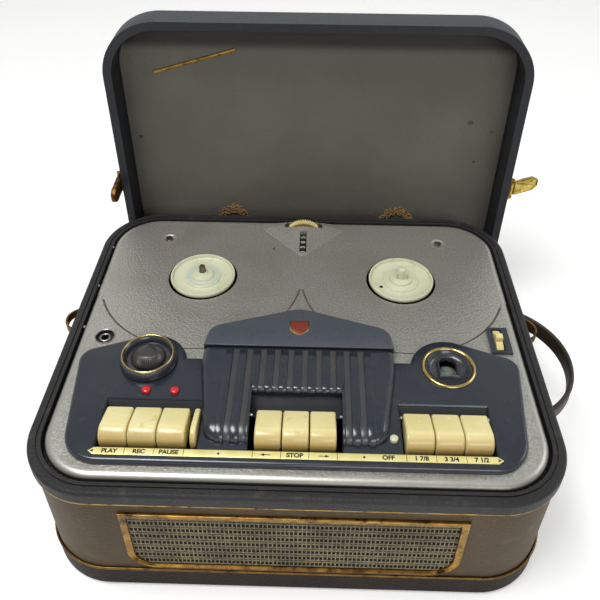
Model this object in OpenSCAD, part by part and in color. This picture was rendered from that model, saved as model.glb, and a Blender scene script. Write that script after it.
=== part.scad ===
// Portable reel-to-reel tape recorder in a covered wooden case, with its lift-off
// lid taken off and stood upright behind it.
// Frame: X to the right, Y to the back, Z up; the origin is the middle of the
// case's flat underside, on the table. All sizes are in millimetres.

/* [Case] */
// Width over the rim band
case_w = 395; // [380:1:480]
// Depth over the rim band
case_d = 329; // [318:1:400]
// Height of the rim's top edge above the table
case_h = 125; // [120:1:155]
// Plan radius of the rim band's corners
corner_r = 54; // [46:1:64]
// Height of the dark base tray
base_h = 23; // [20:1:26]
// Height of the dark rim band
rim_h = 11; // [9:0.5:13]
// Rounding of the rim band's outer top edge
rim_edge = 3; // [1:0.5:4]
// Rounding of the base tray's lower edge
base_edge = 4; // [2:0.5:6]
// How far the covered walls stand in from the rim band
body_inset = 2.4; // [2:0.1:4]
// How far the base tray stands in from the rim band
base_inset = 0.8; // [0.5:0.1:1.5]
// Thickness of the wooden walls
wall = 9; // [6:0.5:11]
// Thickness of the base tray's floor
floor_t = 6; // [4:0.5:8]
// Radius of the brass trim beads
trim_r = 1.1; // [0.8:0.05:1.15]

/* [Grille] */
// Width of the brass grille frame
grille_w = 248; // [200:1:270]
// Height of the brass grille frame
grille_h = 75; // [60:1:78]
// Width of the frame's brass border
grille_border = 6; // [4:0.5:9]
// Radius of the frame's lower corners
grille_r = 15; // [10:0.5:20]
// How far the frame stands out of the wall
grille_proud = 2.6; // [1.5:0.1:4]
// Rows of gaps in the speaker cloth
cloth_rows = 8; // [5:1:8]
// Columns of gaps in the speaker cloth
cloth_cols = 36; // [20:1:37]

/* [Deck] */
// Width of the rim's top surface around the deck
rim_margin = 11.5; // [9:0.5:14]
// Dark gap between the deck's edge and the rim
deck_gap = 1.2; // [0.6:0.1:2]
// Height of the deck above the rim's top edge
deck_proud = 1; // [0:0.5:3]
// Height of the deck pan
deck_hgt = 9; // [7:0.5:10]
// Sheet thickness of the deck
deck_t = 2; // [1.5:0.1:3]
// Radius of the deck's rolled edge
deck_roll = 6; // [4:0.5:6.5]
// Rise of the front field inside the reel arcs
field_rise = 0.8; // [0.4:0.1:1.5]
// Distance between the two spindles
reel_pitch = 184; // [176:1:188]
// Spindle line, measured from the middle of the case
reel_y = 63; // [58:1:66]
// Radius of the embossed arcs around the reels
reel_field_r = 92; // [84:1:92]
// Diameter of the cream platters
platter_d = 59.5; // [50:0.5:66]
// Radial gap between a platter and the deck's hole
platter_gap = 2.2; // [1.5:0.1:3]
// Radius of the spindle shafts
shaft_r = 3.2; // [2.5:0.1:4]
// Radial running clearance of every shaft
run_gap = 0.05; // [0.02:0.01:0.09]

/* [Controls] */
// Width of the control panel at its front corners
panel_w = 337; // [330:1:345]
// Half width of the control panel at its wings
wing_x = 177; // [170:0.5:179]
// Front edge of the control panel
panel_front = -142; // [-143:0.5:-140]
// Height of the control panel above the deck
panel_h = 5; // [4:0.5:6]
// Edge rounding of the control panel
panel_edge = 3; // [1:0.5:3.5]
// Sideways place of the two dials
dial_x = 120; // [117:0.5:122]
// Front to back place of the two dials
dial_y = -48; // [-50:0.5:-46]
// Radius of the raised hump around each dial
hump_r = 30; // [27:0.5:31]
// Spacing of the outer keys
key_pitch = 21.1; // [20:0.1:22.5]
// Spacing of the middle keys
mid_pitch = 20; // [18:0.1:21]
// Gap between neighbouring keys
key_gap = 1; // [0.6:0.1:1.6]
// Middle of each outer key group
key_group_x = 110.4; // [108:0.1:113]
// Front face of the keys
key_front = -127; // [-127.5:0.5:-125]
// Length of a key cap
key_len = 31; // [28:0.5:33]
// Height of a key cap above the deck
key_top = 13.5; // [11:0.5:14]
// How far a key's top falls from its front to its back
key_fall = 6; // [2:0.5:8]
// Radius of a key's rolled front
key_roll = 9; // [6:0.5:11]
// Radius of the rod that the keys turn on
rod_r = 2; // [1.5:0.1:2.5]

/* [Head covers] */
// Half width of the two head covers at the tape slot
cover_x = 77; // [74:0.5:79]
// Half width of the front head cover at its front
cover_front_x = 66; // [62:0.5:68]
// Front edge of the front head cover
cover_front = -124; // [-126:0.5:-122]
// Height of the head covers above the deck
cover_top = 13; // [11:0.5:15]
// Wall of the head covers
cover_wall = 2.2; // [1.6:0.1:2.6]
// Width of the tape slot
slot_w = 2.7; // [2:0.1:3.6]
// Middle of the tape slot
slot_y = -37.3; // [-38:0.1:-36.5]
// Spacing of the ribs on the front cover
rib_pitch = 11; // [9:0.5:13]
// Width of one rib
rib_w = 6.2; // [4:0.1:7.5]
// Height of one rib
rib_rise = 1.2; // [0.6:0.1:2]
// Half width of the cut-out for the middle keys
cut_x = 34; // [33:0.5:35]
// Back of the cut-out for the middle keys
cut_back = -81; // [-84:0.5:-80]

/* [Lid] */
// Depth of the lid
lid_h = 36; // [30:1:50]
// Wall of the lid
lid_wall = 8; // [6:0.5:10]
// Thickness of the lid's outer panel
lid_top_t = 4; // [3:0.5:6]
// Rounding of the lid's outer edge
lid_edge = 9; // [5:0.5:11]
// Sideways place of the lid as it stands behind the case
lid_shift = 10.5; // [-15:0.5:15]
// Gap between the case's back and the standing lid
lid_stand_gap = 2.5; // [2:0.5:10]
// Angle of the right latch away from its closed place
latch_open = 115; // [0:1:150]
// Length of a latch strap
latch_len = 33; // [28:0.5:36]

/* [Handle] */
// Half the handle's length between its end tabs
handle_half = 75; // [60:1:85]
// How far the leather strap bulges out
handle_bulge = 41; // [30:1:50]
// Height of the strap's middle above the table
handle_z = 86; // [60:1:95]
// Width of the strap
strap_w = 16; // [12:1:22]
// Thickness of the strap
strap_t = 4; // [3:0.5:6]

/* [Hidden] */
$fn = 64;

taupe = "#5b5148";
charcoal = "#3d3f43";
brass = "#b0934a";
silver = "#8e8f89";
slate = "#474b54";
cream = "#e8d9a0";
steel = "#a8a8a4";

eps = 0.01;
deck_z = case_h + deck_proud;
deck_w = case_w - 2 * rim_margin;
deck_d = case_d - 2 * rim_margin;
deck_r = corner_r - rim_margin;
deck_foot = deck_z - deck_hgt;
deck_under = deck_z - deck_t;
body_top = case_h - rim_h;
front_face = -case_d / 2 + body_inset;

// Rounded rectangle about the origin
module rounded(w, d, r) {
  square([w - 2 * r, d], center = true);
  square([w, d - 2 * r], center = true);
  for (x = [-1, 1], y = [-1, 1])
    translate([x * (w / 2 - r), y * (d / 2 - r)]) circle(r);
}

// Section of a slab from its corner centre out to its edge, with a rounded top corner
module edge_section(reach, h, e) {
  square([reach - e, h]);
  square([reach, h - e]);
  translate([reach - e, h - e]) intersection() {
    circle(e);
    square(e);
  }
}

// Slab on the rounded rectangle whose top edge is rounded all the way round
module soft_slab(w, d, r, h, e) {
  lx = w / 2 - r;
  ly = d / 2 - r;
  translate([-lx, -ly, 0]) cube([2 * lx, 2 * ly, h]);
  for (turn = [0, 180]) rotate(turn) {
    translate([lx, ly, 0]) {
      rotate([90, 0, 0]) linear_extrude(2 * ly) edge_section(r, h, e);
      rotate_extrude(angle = 90) edge_section(r, h, e);
    }
    rotate(90) translate([ly, lx, 0]) {
      rotate([90, 0, 0]) linear_extrude(2 * lx) edge_section(r, h, e);
      rotate_extrude(angle = 90) edge_section(r, h, e);
    }
  }
}

// Round bead along the outline of the rounded rectangle
module bead(w, d, r, b) {
  lx = w / 2 - r;
  ly = d / 2 - r;
  for (turn = [0, 180]) rotate(turn) {
    translate([w / 2, ly, 0]) rotate([90, 0, 0]) cylinder(h = 2 * ly, r = b);
    translate([lx, ly, 0]) rotate_extrude(angle = 90) translate([r, 0]) circle(b);
    rotate(90) {
      translate([d / 2, lx, 0]) rotate([90, 0, 0]) cylinder(h = 2 * lx, r = b);
      translate([ly, lx, 0]) rotate_extrude(angle = 90) translate([r, 0]) circle(b);
    }
  }
}

// Shape given in the Y and Z directions, made w wide about the middle of X
module across(w) {
  rotate([90, 0, 90]) translate([0, 0, -w / 2]) linear_extrude(w) children();
}

// Cylinder that runs along X, about the middle of X
module along_x(l, r) {
  rotate([0, 90, 0]) cylinder(h = l, r = r, center = true);
}

// Cylinder that runs along Y from y0 to y1
module along_y(y0, y1, r) {
  translate([0, y1, 0]) rotate([90, 0, 0]) cylinder(h = y1 - y0, r = r);
}

// Case

module base_tray() color(charcoal) difference() {
  translate([0, 0, base_h]) mirror([0, 0, 1])
    soft_slab(case_w - 2 * base_inset, case_d - 2 * base_inset, corner_r - base_inset, base_h, base_edge);
  translate([0, 0, floor_t]) linear_extrude(base_h) case_inside();
}

module case_inside() {
  cut = 2 * (body_inset + wall);
  rounded(case_w - cut, case_d - cut, corner_r - cut / 2);
}

module case_outline(inset) {
  rounded(case_w - 2 * inset, case_d - 2 * inset, corner_r - inset);
}

grille_low = base_h + 2 * trim_r + 0.8;
grille_clear = 0.3;
handle_side = case_w / 2 - body_inset;

module case_body() color(taupe) difference() {
  translate([0, 0, base_h]) linear_extrude(body_top - base_h) difference() {
    case_outline(body_inset);
    case_inside();
  }
  translate([0, front_face + wall + 1, 0]) rotate([90, 0, 0])
    linear_extrude(wall + 2) grille_outline(grille_border - 2);
}

ledge_t = deck_foot - body_top;
ledge_w = 5;
groove_w = 1.2;
groove_in = 4;

module rim_band() color(charcoal) translate([0, 0, body_top]) difference() {
  soft_slab(case_w, case_d, corner_r, rim_h, rim_edge);
  translate([0, 0, ledge_t]) linear_extrude(rim_h) rounded(deck_w + 2 * deck_gap, deck_d + 2 * deck_gap, deck_r + deck_gap);
  translate([0, 0, -eps]) linear_extrude(rim_h) rounded(deck_w - 2 * ledge_w, deck_d - 2 * ledge_w, deck_r - ledge_w);
  translate([0, 0, rim_h - groove_w]) linear_extrude(rim_h) difference() {
    rounded(deck_w + 2 * (groove_in + groove_w), deck_d + 2 * (groove_in + groove_w), deck_r + groove_in + groove_w);
    rounded(deck_w + 2 * groove_in, deck_d + 2 * groove_in, deck_r + groove_in);
  }
}

module case_trims() color(brass) {
  out = body_inset - trim_r - run_gap;
  for (z = [base_h + trim_r, body_top - trim_r])
    translate([0, 0, z]) bead(case_w - 2 * out, case_d - 2 * out, corner_r - out, trim_r);
}

// Grille outline with square upper and round lower corners, drawn in from the frame's edge
module grille_outline(inset) {
  w = grille_w - 2 * inset;
  h = grille_h - 2 * inset;
  r = grille_r - inset;
  translate([-w / 2, grille_low + inset + r]) square([w, h - r]);
  translate([-w / 2 + r, grille_low + inset]) square([w - 2 * r, r]);
  for (x = [-1, 1])
    translate([x * (w / 2 - r), grille_low + inset + r]) circle(r);
}

module grille_frame() color(brass)
  translate([0, front_face, 0]) rotate([90, 0, 0]) linear_extrude(grille_proud) difference() {
    grille_outline(0);
    grille_outline(grille_border);
  }

cloth_t = 1.2;
cloth_margin = 5;

module grille_cloth() color("#9a8f72")
  translate([0, front_face + cloth_t, 0]) rotate([90, 0, 0]) linear_extrude(cloth_t) difference() {
    grille_outline(grille_border - 2 + grille_clear);
    cloth_gaps();
  }

module cloth_gaps() {
  span_x = grille_w - 2 * grille_border - 2 * cloth_margin;
  span_z = grille_h - 2 * grille_border - 2 * cloth_margin;
  step_x = span_x / cloth_cols;
  step_z = span_z / (cloth_rows - 1);
  for (i = [0 : cloth_cols - 1], k = [0 : cloth_rows - 1])
    translate([-span_x / 2 + (i + 0.5) * step_x, grille_low + grille_border + cloth_margin + k * step_z])
      square([step_x * 0.5, step_z * 0.32], center = true);
}

speaker_w = 152;
speaker_h = grille_h + 4;
speaker_z = grille_low + grille_h / 2;
speaker_y = front_face + wall;
cone_r = 30;
cone_depth = 22;

module loudspeaker() color("#55575a") translate([0, speaker_y, speaker_z]) {
  difference() {
    rotate([-90, 0, 0]) linear_extrude(3) difference() {
      rounded(speaker_w, speaker_h, speaker_h / 2 - 4);
      circle(cone_r + 2);
    }
    for (x = [-1, 1]) translate([x * (speaker_w / 2 - 9), 0, 0]) along_y(-1, 4, 2.2);
  }
  rotate([-90, 0, 0]) rotate_extrude() polygon([[cone_r + 2, 3], [cone_r + 4, 3], [14, cone_depth + 6], [14, cone_depth + 20],
    [0, cone_depth + 20], [0, cone_depth + 4], [12, cone_depth + 4], [cone_r + 2, 4]]);
  speaker_cone();
}

module speaker_cone() color("#2c2a28") rotate([-90, 0, 0])
  rotate_extrude() polygon([[0, cone_depth - 6], [7, cone_depth], [cone_r, 1], [cone_r + 2, 1], [cone_r + 2, 2.4],
    [cone_r - 1, 2.4], [8, cone_depth + 2], [8, cone_depth + 3.6], [0, cone_depth + 3.6]]);

catch_y = 8;
catch_half = 12.5;
catch_out = 8;
catch_t = 1.5;
catch_w = 7;

module lid_catches() color(brass) {
  bow = (catch_half * catch_half + catch_out * catch_out) / (2 * catch_out);
  for (side = [0, 1]) mirror([side, 0, 0]) difference() {
    translate([case_w / 2 + catch_out - bow, catch_y, case_h - rim_edge - catch_w]) rotate_extrude()
      translate([bow - catch_t, 0]) square([catch_t, catch_w]);
    translate([case_w / 2 - 2 * bow, catch_y - 2 * bow, 0]) cube([2 * bow, 4 * bow, 2 * case_h]);
  }
}

strap_arc = 2 * atan(handle_bulge / handle_half);
strap_sum = handle_half / sin(strap_arc);
strap_end_r = 22;
strap_main_r = strap_sum - strap_end_r;
tab_len = 18;
strap_low = handle_z - strap_w / 2;

strap_steps = 12;

// One face of the strap, o out from its middle: end tab, reverse bend, bow, reverse bend, end tab
function strap_bend(o) = [for (i = [0 : strap_steps]) let (turn = strap_arc * i / strap_steps)
  [strap_end_r - (strap_end_r - o) * cos(turn), (strap_end_r - o) * sin(turn) - handle_half]];
function strap_face(o) = concat(
  [[o, -handle_half - tab_len]],
  strap_bend(o),
  [for (i = [1 - 2 * strap_steps : 2 * strap_steps - 1]) let (turn = strap_arc * i / (2 * strap_steps))
    [handle_bulge - strap_main_r + (strap_main_r + o) * cos(turn), (strap_main_r + o) * sin(turn)]],
  [for (i = [0 : strap_steps]) let (p = strap_bend(o)[strap_steps - i]) [p[0], -p[1]]],
  [[o, handle_half + tab_len]]);
function backwards(list) = [for (i = [1 : len(list)]) list[len(list) - i]];

// Leather strap: a wide bow that two reverse bends lead flat on to the side of the case
module handle_strap() color("#231d14") translate([handle_side + strap_t / 2, 0, strap_low])
  linear_extrude(strap_w) polygon(concat(strap_face(strap_t / 2), backwards(strap_face(-strap_t / 2))));

cap_t = 1.6;
cap_gap = 0.1;

module handle_brackets() color(brass)
  for (side = [0, 1]) mirror([0, side, 0])
    translate([handle_side, handle_half + 4, strap_low - cap_t - cap_gap]) difference() {
      cube([strap_t + cap_t + cap_gap, tab_len - 2, strap_w + 2 * (cap_t + cap_gap)]);
      translate([-1, -1, cap_t]) cube([strap_t + cap_gap + 1, tab_len + 2, strap_w + 2 * cap_gap]);
    }

// Deck

module reel_centres() {
  for (x = [-1, 1]) translate([x * reel_pitch / 2, reel_y]) children();
}

well_gap = 1.5;
well_front = key_front - 2.6;
well_back = key_front + key_len + 9.5;
group_half = 1.5 * key_pitch;
lever_x = -73.4;
lever_w = 4.2;
well_lever = lever_x + lever_w / 2 + 1;

// Openings that the keys stand in, grown all round by g
module key_wells(g) {
  translate([-key_group_x - group_half - well_gap - g, well_front - g])
    square([well_lever + key_group_x + group_half + well_gap + 2 * g, well_back - well_front + 2 * g]);
  translate([-cut_x - g, well_front - g]) square([2 * (cut_x + g), cut_back - well_front + 2 * g]);
  translate([key_group_x - group_half - well_gap - g, well_front - g])
    square([2 * (group_half + well_gap + g), well_back - well_front + 2 * g]);
}

screw_x = 133.5;
screw_y = 120;
screw_r = 2;
screw_gap = 0.3;
dimple_r = 7;
counter_y0 = 97;
counter_wedge_x = 40;
counter_back = deck_d / 2 - deck_roll;
counter_rise = 5;
window_w = 6.6;
wheel_r = 20;
wheel_t = 6;
wheel_y = counter_back - wheel_t - 1;
wheel_out = 5.5;
axle_z = deck_z + counter_rise + wheel_out - wheel_r;
drum_r = 8.2;
drum_gap = 0.6;
drum_w = 7.5;
drum_pitch = 8;
drum_count = 4;
drum_y = counter_y0 + 3;
drum_end = drum_y + drum_count * drum_pitch;
jack_x = -164;
jack_y = -17.5;
jack_r = 8.3;
switch_x = 167.8;
switch_y = -13.6;
switch_w = 17;
switch_l = 29;
capstan_x = 30;
capstan_y = slot_y + 2.8;
capstan_r = 2.5;
button_r = 2.5;
red_y = -79;
red_x = [-key_group_x - 5.6, key_pitch - key_group_x - 4.8];
off_x = 71;
off_y = -118.5;
off_r = 3;
hole_gap = 0.4;

wedge_plan = [[0, counter_y0], [counter_wedge_x, counter_back - 8], [counter_wedge_x, counter_back],
              [-counter_wedge_x, counter_back], [-counter_wedge_x, counter_back - 8]];

// Low roof over the counter: its facets fall from a ridge to the sides
module wedge() polyhedron(
  points = concat(
    [for (z = [deck_z - 1, deck_z], p = wedge_plan) [p[0], p[1], z]],
    [[0, counter_back, deck_z + counter_rise]]),
  faces = concat(
    [[0, 1, 2, 3, 4]],
    [for (i = [0 : 4]) let (j = (i + 1) % 5) [i, i + 5, j + 5, j]],
    [for (i = [0 : 4]) let (j = (i + 1) % 5) [i + 5, 10, j + 5]]));

// Field in front of the reels, bounded by the two embossed arcs
module front_field() {
  difference() {
    intersection() {
      rounded(deck_w - 2 * deck_roll, deck_d - 2 * deck_roll, deck_r - deck_roll);
      translate([-deck_w / 2, -deck_d / 2]) square([deck_w, deck_d / 2 + reel_y - reel_field_r * 0.18]);
    }
    reel_centres() circle(reel_field_r);
  }
}

module deck_plate() color(silver) difference() {
  union() {
    translate([0, 0, deck_foot]) difference() {
      soft_slab(deck_w, deck_d, deck_r, deck_hgt, deck_roll);
      translate([0, 0, -eps]) soft_slab(deck_w - 2 * deck_t, deck_d - 2 * deck_t, deck_r - deck_t, deck_hgt - deck_t + eps, deck_roll - deck_t);
    }
    translate([0, 0, deck_z - eps]) linear_extrude(field_rise + eps) front_field();
    wedge();
  }
  translate([0, 0, deck_foot - 1]) {
    linear_extrude(deck_hgt + 5) {
      reel_centres() circle(platter_d / 2 + platter_gap);
      key_wells(hole_gap);
      translate([-window_w / 2, drum_y - 1]) square([window_w, drum_count * drum_pitch + 1]);
      translate([jack_x, jack_y]) circle(jack_r + 0.1);
      translate([switch_x - switch_w / 2 + 1, switch_y - switch_l / 2 + 1]) square([switch_w - 2, switch_l - 2]);
      translate([capstan_x, capstan_y]) circle(capstan_r + run_gap);
      translate([-dial_x, dial_y]) circle(tube_r + hole_gap);
      translate([dial_x, dial_y]) circle(eye_hole_r);
      for (x = red_x) translate([x, red_y]) circle(button_r + hole_gap);
      translate([off_x, off_y]) circle(off_r + hole_gap);
      for (x = [-1, 1]) translate([x * screw_x, screw_y]) circle(screw_r + screw_gap);
      translate([-28.3, 106.5]) circle(1.2);
    }
  }
  for (x = [-1, 1]) translate([x * screw_x, screw_y, deck_z - 1.2]) cylinder(h = 1.2 + eps, r1 = 3.5, r2 = dimple_r);
  translate([0, 0, axle_z]) {
    along_y(wheel_y - 0.8, wheel_y + wheel_t + 0.8, wheel_r + 1);
    along_y(drum_y - drum_gap, drum_end + drum_gap, drum_r + drum_gap);
  }
}

module deck_screws() color(steel)
  for (x = [-1, 1]) translate([x * screw_x, screw_y, deck_z - 1.2]) {
    difference() {
      cylinder(h = 1.8, r = 3.3);
      translate([-4, -0.4, 1]) cube([8, 0.8, 2]);
    }
    translate([0, 0, -14]) cylinder(h = 14, r = screw_r);
  }

// Control panel

panel_back = -43;
wing_y = -46.5;
wing_r = 13;
panel_r = 28;
strip_front = -136.8;
strip_back = -130.8;
strip_x = 147;
strip_sink = 0.8;
eye_hole_r = 17;
dish_r = 18.4;
tube_r = 4.5;
under_cover_x = 68;

// Plan of the panel's middle, drawn in by inset
module panel_middle(inset) {
  for (x = [-1, 1]) translate([x * (panel_w / 2 - panel_r), panel_front + panel_r]) circle(panel_r - inset);
  translate([-dial_x, panel_front + panel_r]) square([2 * dial_x, panel_back - inset - panel_front - panel_r]);
}

// Plan of one side, drawn in by inset: front corner, wing and the hump around the dial
module panel_side(inset) {
  translate([panel_w / 2 - panel_r, panel_front + panel_r]) circle(panel_r - inset);
  translate([wing_x - wing_r, wing_y]) circle(wing_r - inset);
  translate([dial_x, dial_y]) circle(hump_r - inset);
}

// Slab on one of the two plans, with a rounded top edge
module panel_slab(side) hull()
  for (turn = [0, 30, 60, 90])
    linear_extrude(panel_h - panel_edge * (1 - sin(turn))) {
      if (side) panel_side(panel_edge * (1 - cos(turn)));
      else panel_middle(panel_edge * (1 - cos(turn)));
    }

module panel_body() {
  panel_slab(false);
  panel_slab(true);
  mirror([1, 0, 0]) panel_slab(true);
}

module control_panel() color(slate) translate([0, 0, deck_z + field_rise]) difference() {
  panel_body();
  translate([0, 0, -1]) linear_extrude(panel_h + 2) {
    key_wells(0);
    translate([-under_cover_x, cut_back - eps]) square([2 * under_cover_x, slot_y + 20 - cut_back]);
    translate([-dial_x, dial_y]) circle(tube_r + run_gap);
    translate([dial_x, dial_y]) circle(dish_r + 0.1);
    for (x = red_x) translate([x, red_y]) circle(button_r + run_gap);
    translate([off_x, off_y]) circle(off_r + run_gap);
  }
  translate([-strip_x - 0.1, strip_front - 0.1, panel_h - strip_sink])
    cube([2 * strip_x + 0.2, strip_back - strip_front + 0.2, strip_sink + 1]);
}

module label_strip() color("#d8c95e")
  translate([-strip_x, strip_front, deck_z + field_rise + panel_h - strip_sink])
    cube([2 * strip_x, strip_back - strip_front, strip_sink + 0.2]);

// Rear head cover: a low arched lid, open towards the tape slot
rear_foot = slot_y + slot_w / 2;
rear_side = -22;
rear_shoulder = -6.5;
rear_peak = 9.5;
shoulder_r = 16;
peak_r = 22;

module arch(inset) {
  offset(r = -inset) hull() {
    translate([-cover_x, rear_foot - inset]) square([2 * cover_x, 1]);
    for (x = [-1, 1]) translate([x * (cover_x - shoulder_r), rear_side]) circle(shoulder_r, $fn = 32);
    translate([0, rear_peak - peak_r]) circle(peak_r, $fn = 48);
  }
}

module head_cover_rear() color(slate) translate([0, 0, deck_z + field_rise]) difference() {
  hull() {
    linear_extrude(cover_top - 3) arch(0);
    linear_extrude(cover_top - 1) arch(0.9);
    linear_extrude(cover_top) arch(3);
  }
  translate([0, 0, -1]) linear_extrude(cover_top - cover_wall + 1) arch(cover_wall);
  translate([-cover_x - 1, rear_foot - 20, -1]) cube([2 * cover_x + 2, 20, cover_top + 2]);
}

badge_w = 17;
badge_l = 18;

module badge() color("#b8402c") translate([0, rear_foot + 21, deck_z + field_rise + cover_top])
  linear_extrude(0.8) rounded(badge_w, badge_l, 5);

// Front head cover: a ribbed hood that rolls down to the keys
front_back = slot_y - slot_w / 2;
hood_roll = 12;
hood_foot = panel_h;
rib_half = floor(cover_x / rib_pitch);

// Side view of the hood from the tape slot to its rolled front, grown by g
module hood_side(g) {
  top = cover_top + g;
  translate([cover_front - g + hood_roll, 0]) square([front_back - cover_front + g - hood_roll, top]);
  translate([cover_front - g, 0]) square([hood_roll, top - hood_roll]);
  translate([cover_front - g + hood_roll, top - hood_roll]) circle(hood_roll);
}

// Plan of the hood, drawn in by inset: straight at the slot, drawn in with round corners at the front
hood_corner = 14;
corner_steps = 8;

function hood_half(inset) = concat(
  [[cover_x - inset, front_back + 1], [cover_x - inset, front_back - 20]],
  [for (i = [0 : corner_steps]) let (turn = 90 * i / corner_steps)
    [cover_front_x - hood_corner + (hood_corner - inset) * cos(turn), cover_front - 2 + hood_corner - (hood_corner - inset) * sin(turn)]]);

module hood_plan(inset) {
  half = hood_half(inset);
  last = len(half) - 1;
  polygon(concat(half, [for (i = [0 : last]) [-half[last - i][0], half[last - i][1]]]));
}

module head_cover_front() color(slate) translate([0, 0, deck_z + field_rise]) difference() {
  intersection() {
    linear_extrude(cover_top + 2 * rib_rise) hood_plan(0);
    union() {
      across(2 * cover_x) hood_side(0);
      for (i = [-rib_half : rib_half]) translate([i * rib_pitch, 0, 0]) across(rib_w) hood_side(rib_rise);
    }
  }
  translate([-2 * cover_x, panel_back + 0.2 - 200, -1]) cube([4 * cover_x, 200, hood_foot + 1]);
  intersection() {
    translate([0, 0, -1]) linear_extrude(cover_top) hood_plan(cover_wall);
    across(2 * cover_x) translate([0, -cover_wall]) hood_side(0);
    translate([-cover_x, cover_front + cover_wall, 0]) cube([2 * cover_x, 200, 40]);
  }
  translate([-cover_x + cover_wall, front_back - 4, 0]) cube([2 * (cover_x - cover_wall), 8, cover_top - cover_wall]);
  translate([-cut_x, cover_front - 20, 0]) cube([2 * cut_x, cut_back - cover_front + 20, 40]);
}

// Tuning eye

bezel_r = 20.2;
bezel_wire = 1.7;

module eye_bezel() color(brass)
  translate([dial_x, dial_y, deck_z + field_rise + panel_h]) rotate_extrude() intersection() {
    translate([bezel_r, 0.4]) circle(bezel_wire);
    square([40, 10]);
  }

module eye_dish() color("#26282b") translate([dial_x, dial_y, deck_z + field_rise]) difference() {
  rotate_extrude() polygon([[0, 0.4], [dish_r, 0.4], [dish_r, panel_h + 1], [dish_r - 1.2, panel_h + 1], [11, 2], [0, 2]]);
  translate([0, 0, -1]) linear_extrude(6) {
    translate([0, 1]) circle(6);
    translate([-6, -5]) square([12, 6]);
  }
}

chassis_z = deck_z - 56;
chassis_t = 2;
eye_glass_r = 10;

module eye_tube() color("#8b938f") translate([dial_x, dial_y, chassis_z + chassis_t]) {
  cylinder(h = 8, r = 9);
  rotate_extrude() {
    h = deck_z - 0.6 - chassis_z - chassis_t;
    translate([0, 8]) square([eye_glass_r, h - 8 - 3]);
    translate([0, 8]) square([eye_glass_r - 3, h - 8]);
    translate([eye_glass_r - 3, h - 3]) circle(3);
  }
}

// Deck fittings

jack_bore = 3.25;
jack_deep = 12;

module jack_socket() color("#2b2b2b") translate([jack_x, jack_y, deck_z + field_rise]) difference() {
  union() {
    translate([0, 0, -16]) cylinder(h = 16.3, r = jack_r);
  }
  translate([0, 0, -3]) difference() {
    cylinder(h = 5, r = jack_r - 0.9);
    translate([0, 0, -1]) cylinder(h = 3, r = jack_bore + 1.6);
  }
  translate([0, 0, -1 - jack_deep]) cylinder(h = jack_deep + 3, r = jack_bore);
}

rocker_w = 7;
rocker_l = 22;
rocker_z = -1.5;
rocker_x = switch_x - 1;
trunnion_r = 1.2;
trunnion_l = 1.4;
trunnion_gap = 0.2;

module switch_bezel() color("#34373c") translate([0, 0, deck_z + field_rise]) difference() {
  union() {
    translate([switch_x - switch_w / 2, switch_y - switch_l / 2, 0]) cube([switch_w, switch_l, 2.6]);
    translate([switch_x - switch_w / 2 + 1.4, switch_y - switch_l / 2 + 1.4, -8]) cube([switch_w - 2.8, switch_l - 2.8, 9]);
  }
  translate([rocker_x - rocker_w / 2 - 0.6, switch_y - rocker_l / 2 - 1.2, -9]) cube([rocker_w + 1.2, rocker_l + 2.4, 20]);
  translate([rocker_x, switch_y, rocker_z]) along_x(rocker_w + 2 * (trunnion_l + trunnion_gap), trunnion_r + run_gap);
  translate([switch_x + switch_w / 2, 0, 2.6]) rotate([0, 14, 0]) translate([-6, -50, 0]) cube([20, 100, 5]);
}

module switch_rocker() color(cream) translate([rocker_x, switch_y, deck_z + field_rise]) {
  across(rocker_w) {
    polygon([[-rocker_l / 2, -1], [rocker_l / 2, -1], [rocker_l / 2, 2.5], [3.5, 4.5], [2.6, 8], [-2.6, 8], [-3.5, 4.5], [-rocker_l / 2, 2.5]]);
    translate([0, rocker_z]) circle(4);
  }
  translate([0, 0, rocker_z]) along_x(rocker_w + 2 * trunnion_l, trunnion_r);
}

// Small push buttons: a domed pin with a keeper under the deck
button_drop = 8;

module push_button(r) {
  translate([0, 0, -button_drop]) cylinder(h = 1.5, r = r + 1.2);
  translate([0, 0, -button_drop]) cylinder(h = button_drop + panel_h + 2.2, r = r);
  translate([0, 0, panel_h + 2.2]) intersection() {
    translate([0, 0, -r]) sphere(r * 1.41421356);
    cylinder(h = r, r = r);
  }
}

module off_button() color(cream) translate([off_x, off_y, deck_z + field_rise]) push_button(off_r);
module red_button_left() color("#d8323a") translate([red_x[0], red_y, deck_z + field_rise]) push_button(button_r);
module red_button_right() color("#d8323a") translate([red_x[1], red_y, deck_z + field_rise]) push_button(button_r);

// Keys

key_w = key_pitch - key_gap;
mid_w = mid_pitch - key_gap;
key_low = -6;
pivot_y = -64;
pivot_z = deck_z + field_rise - 8;
hub_r = 4.5;
hub_w = 8;
arm_shift = 5;
arm_h = 6;
arm_w = 5;

// Side view of a key: a rolled front and a top that falls towards the back
module key_side() {
  ridge = key_front + key_roll;
  polygon([[ridge, key_low], [key_front + key_len, key_low], [key_front + key_len, key_top - key_fall], [ridge, key_top]]);
  translate([key_front, key_low]) square([key_roll, key_top - key_roll - key_low]);
  translate([key_front, key_top - key_roll]) intersection() {
    translate([key_roll, 0]) circle(key_roll);
    square(key_roll);
  }
}

module key(x, w, shift) color(cream) difference() {
  union() {
    translate([x, 0, deck_z + field_rise]) across(w) key_side();
    translate([x + shift - arm_w / 2, key_front + key_len / 2, pivot_z - arm_h / 2])
      cube([arm_w, pivot_y - key_front - key_len / 2, arm_h]);
    translate([x + shift, pivot_y, pivot_z]) along_x(hub_w, hub_r);
  }
  translate([x + shift, pivot_y, pivot_z]) along_x(hub_w + 2, rod_r + run_gap);
}

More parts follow.
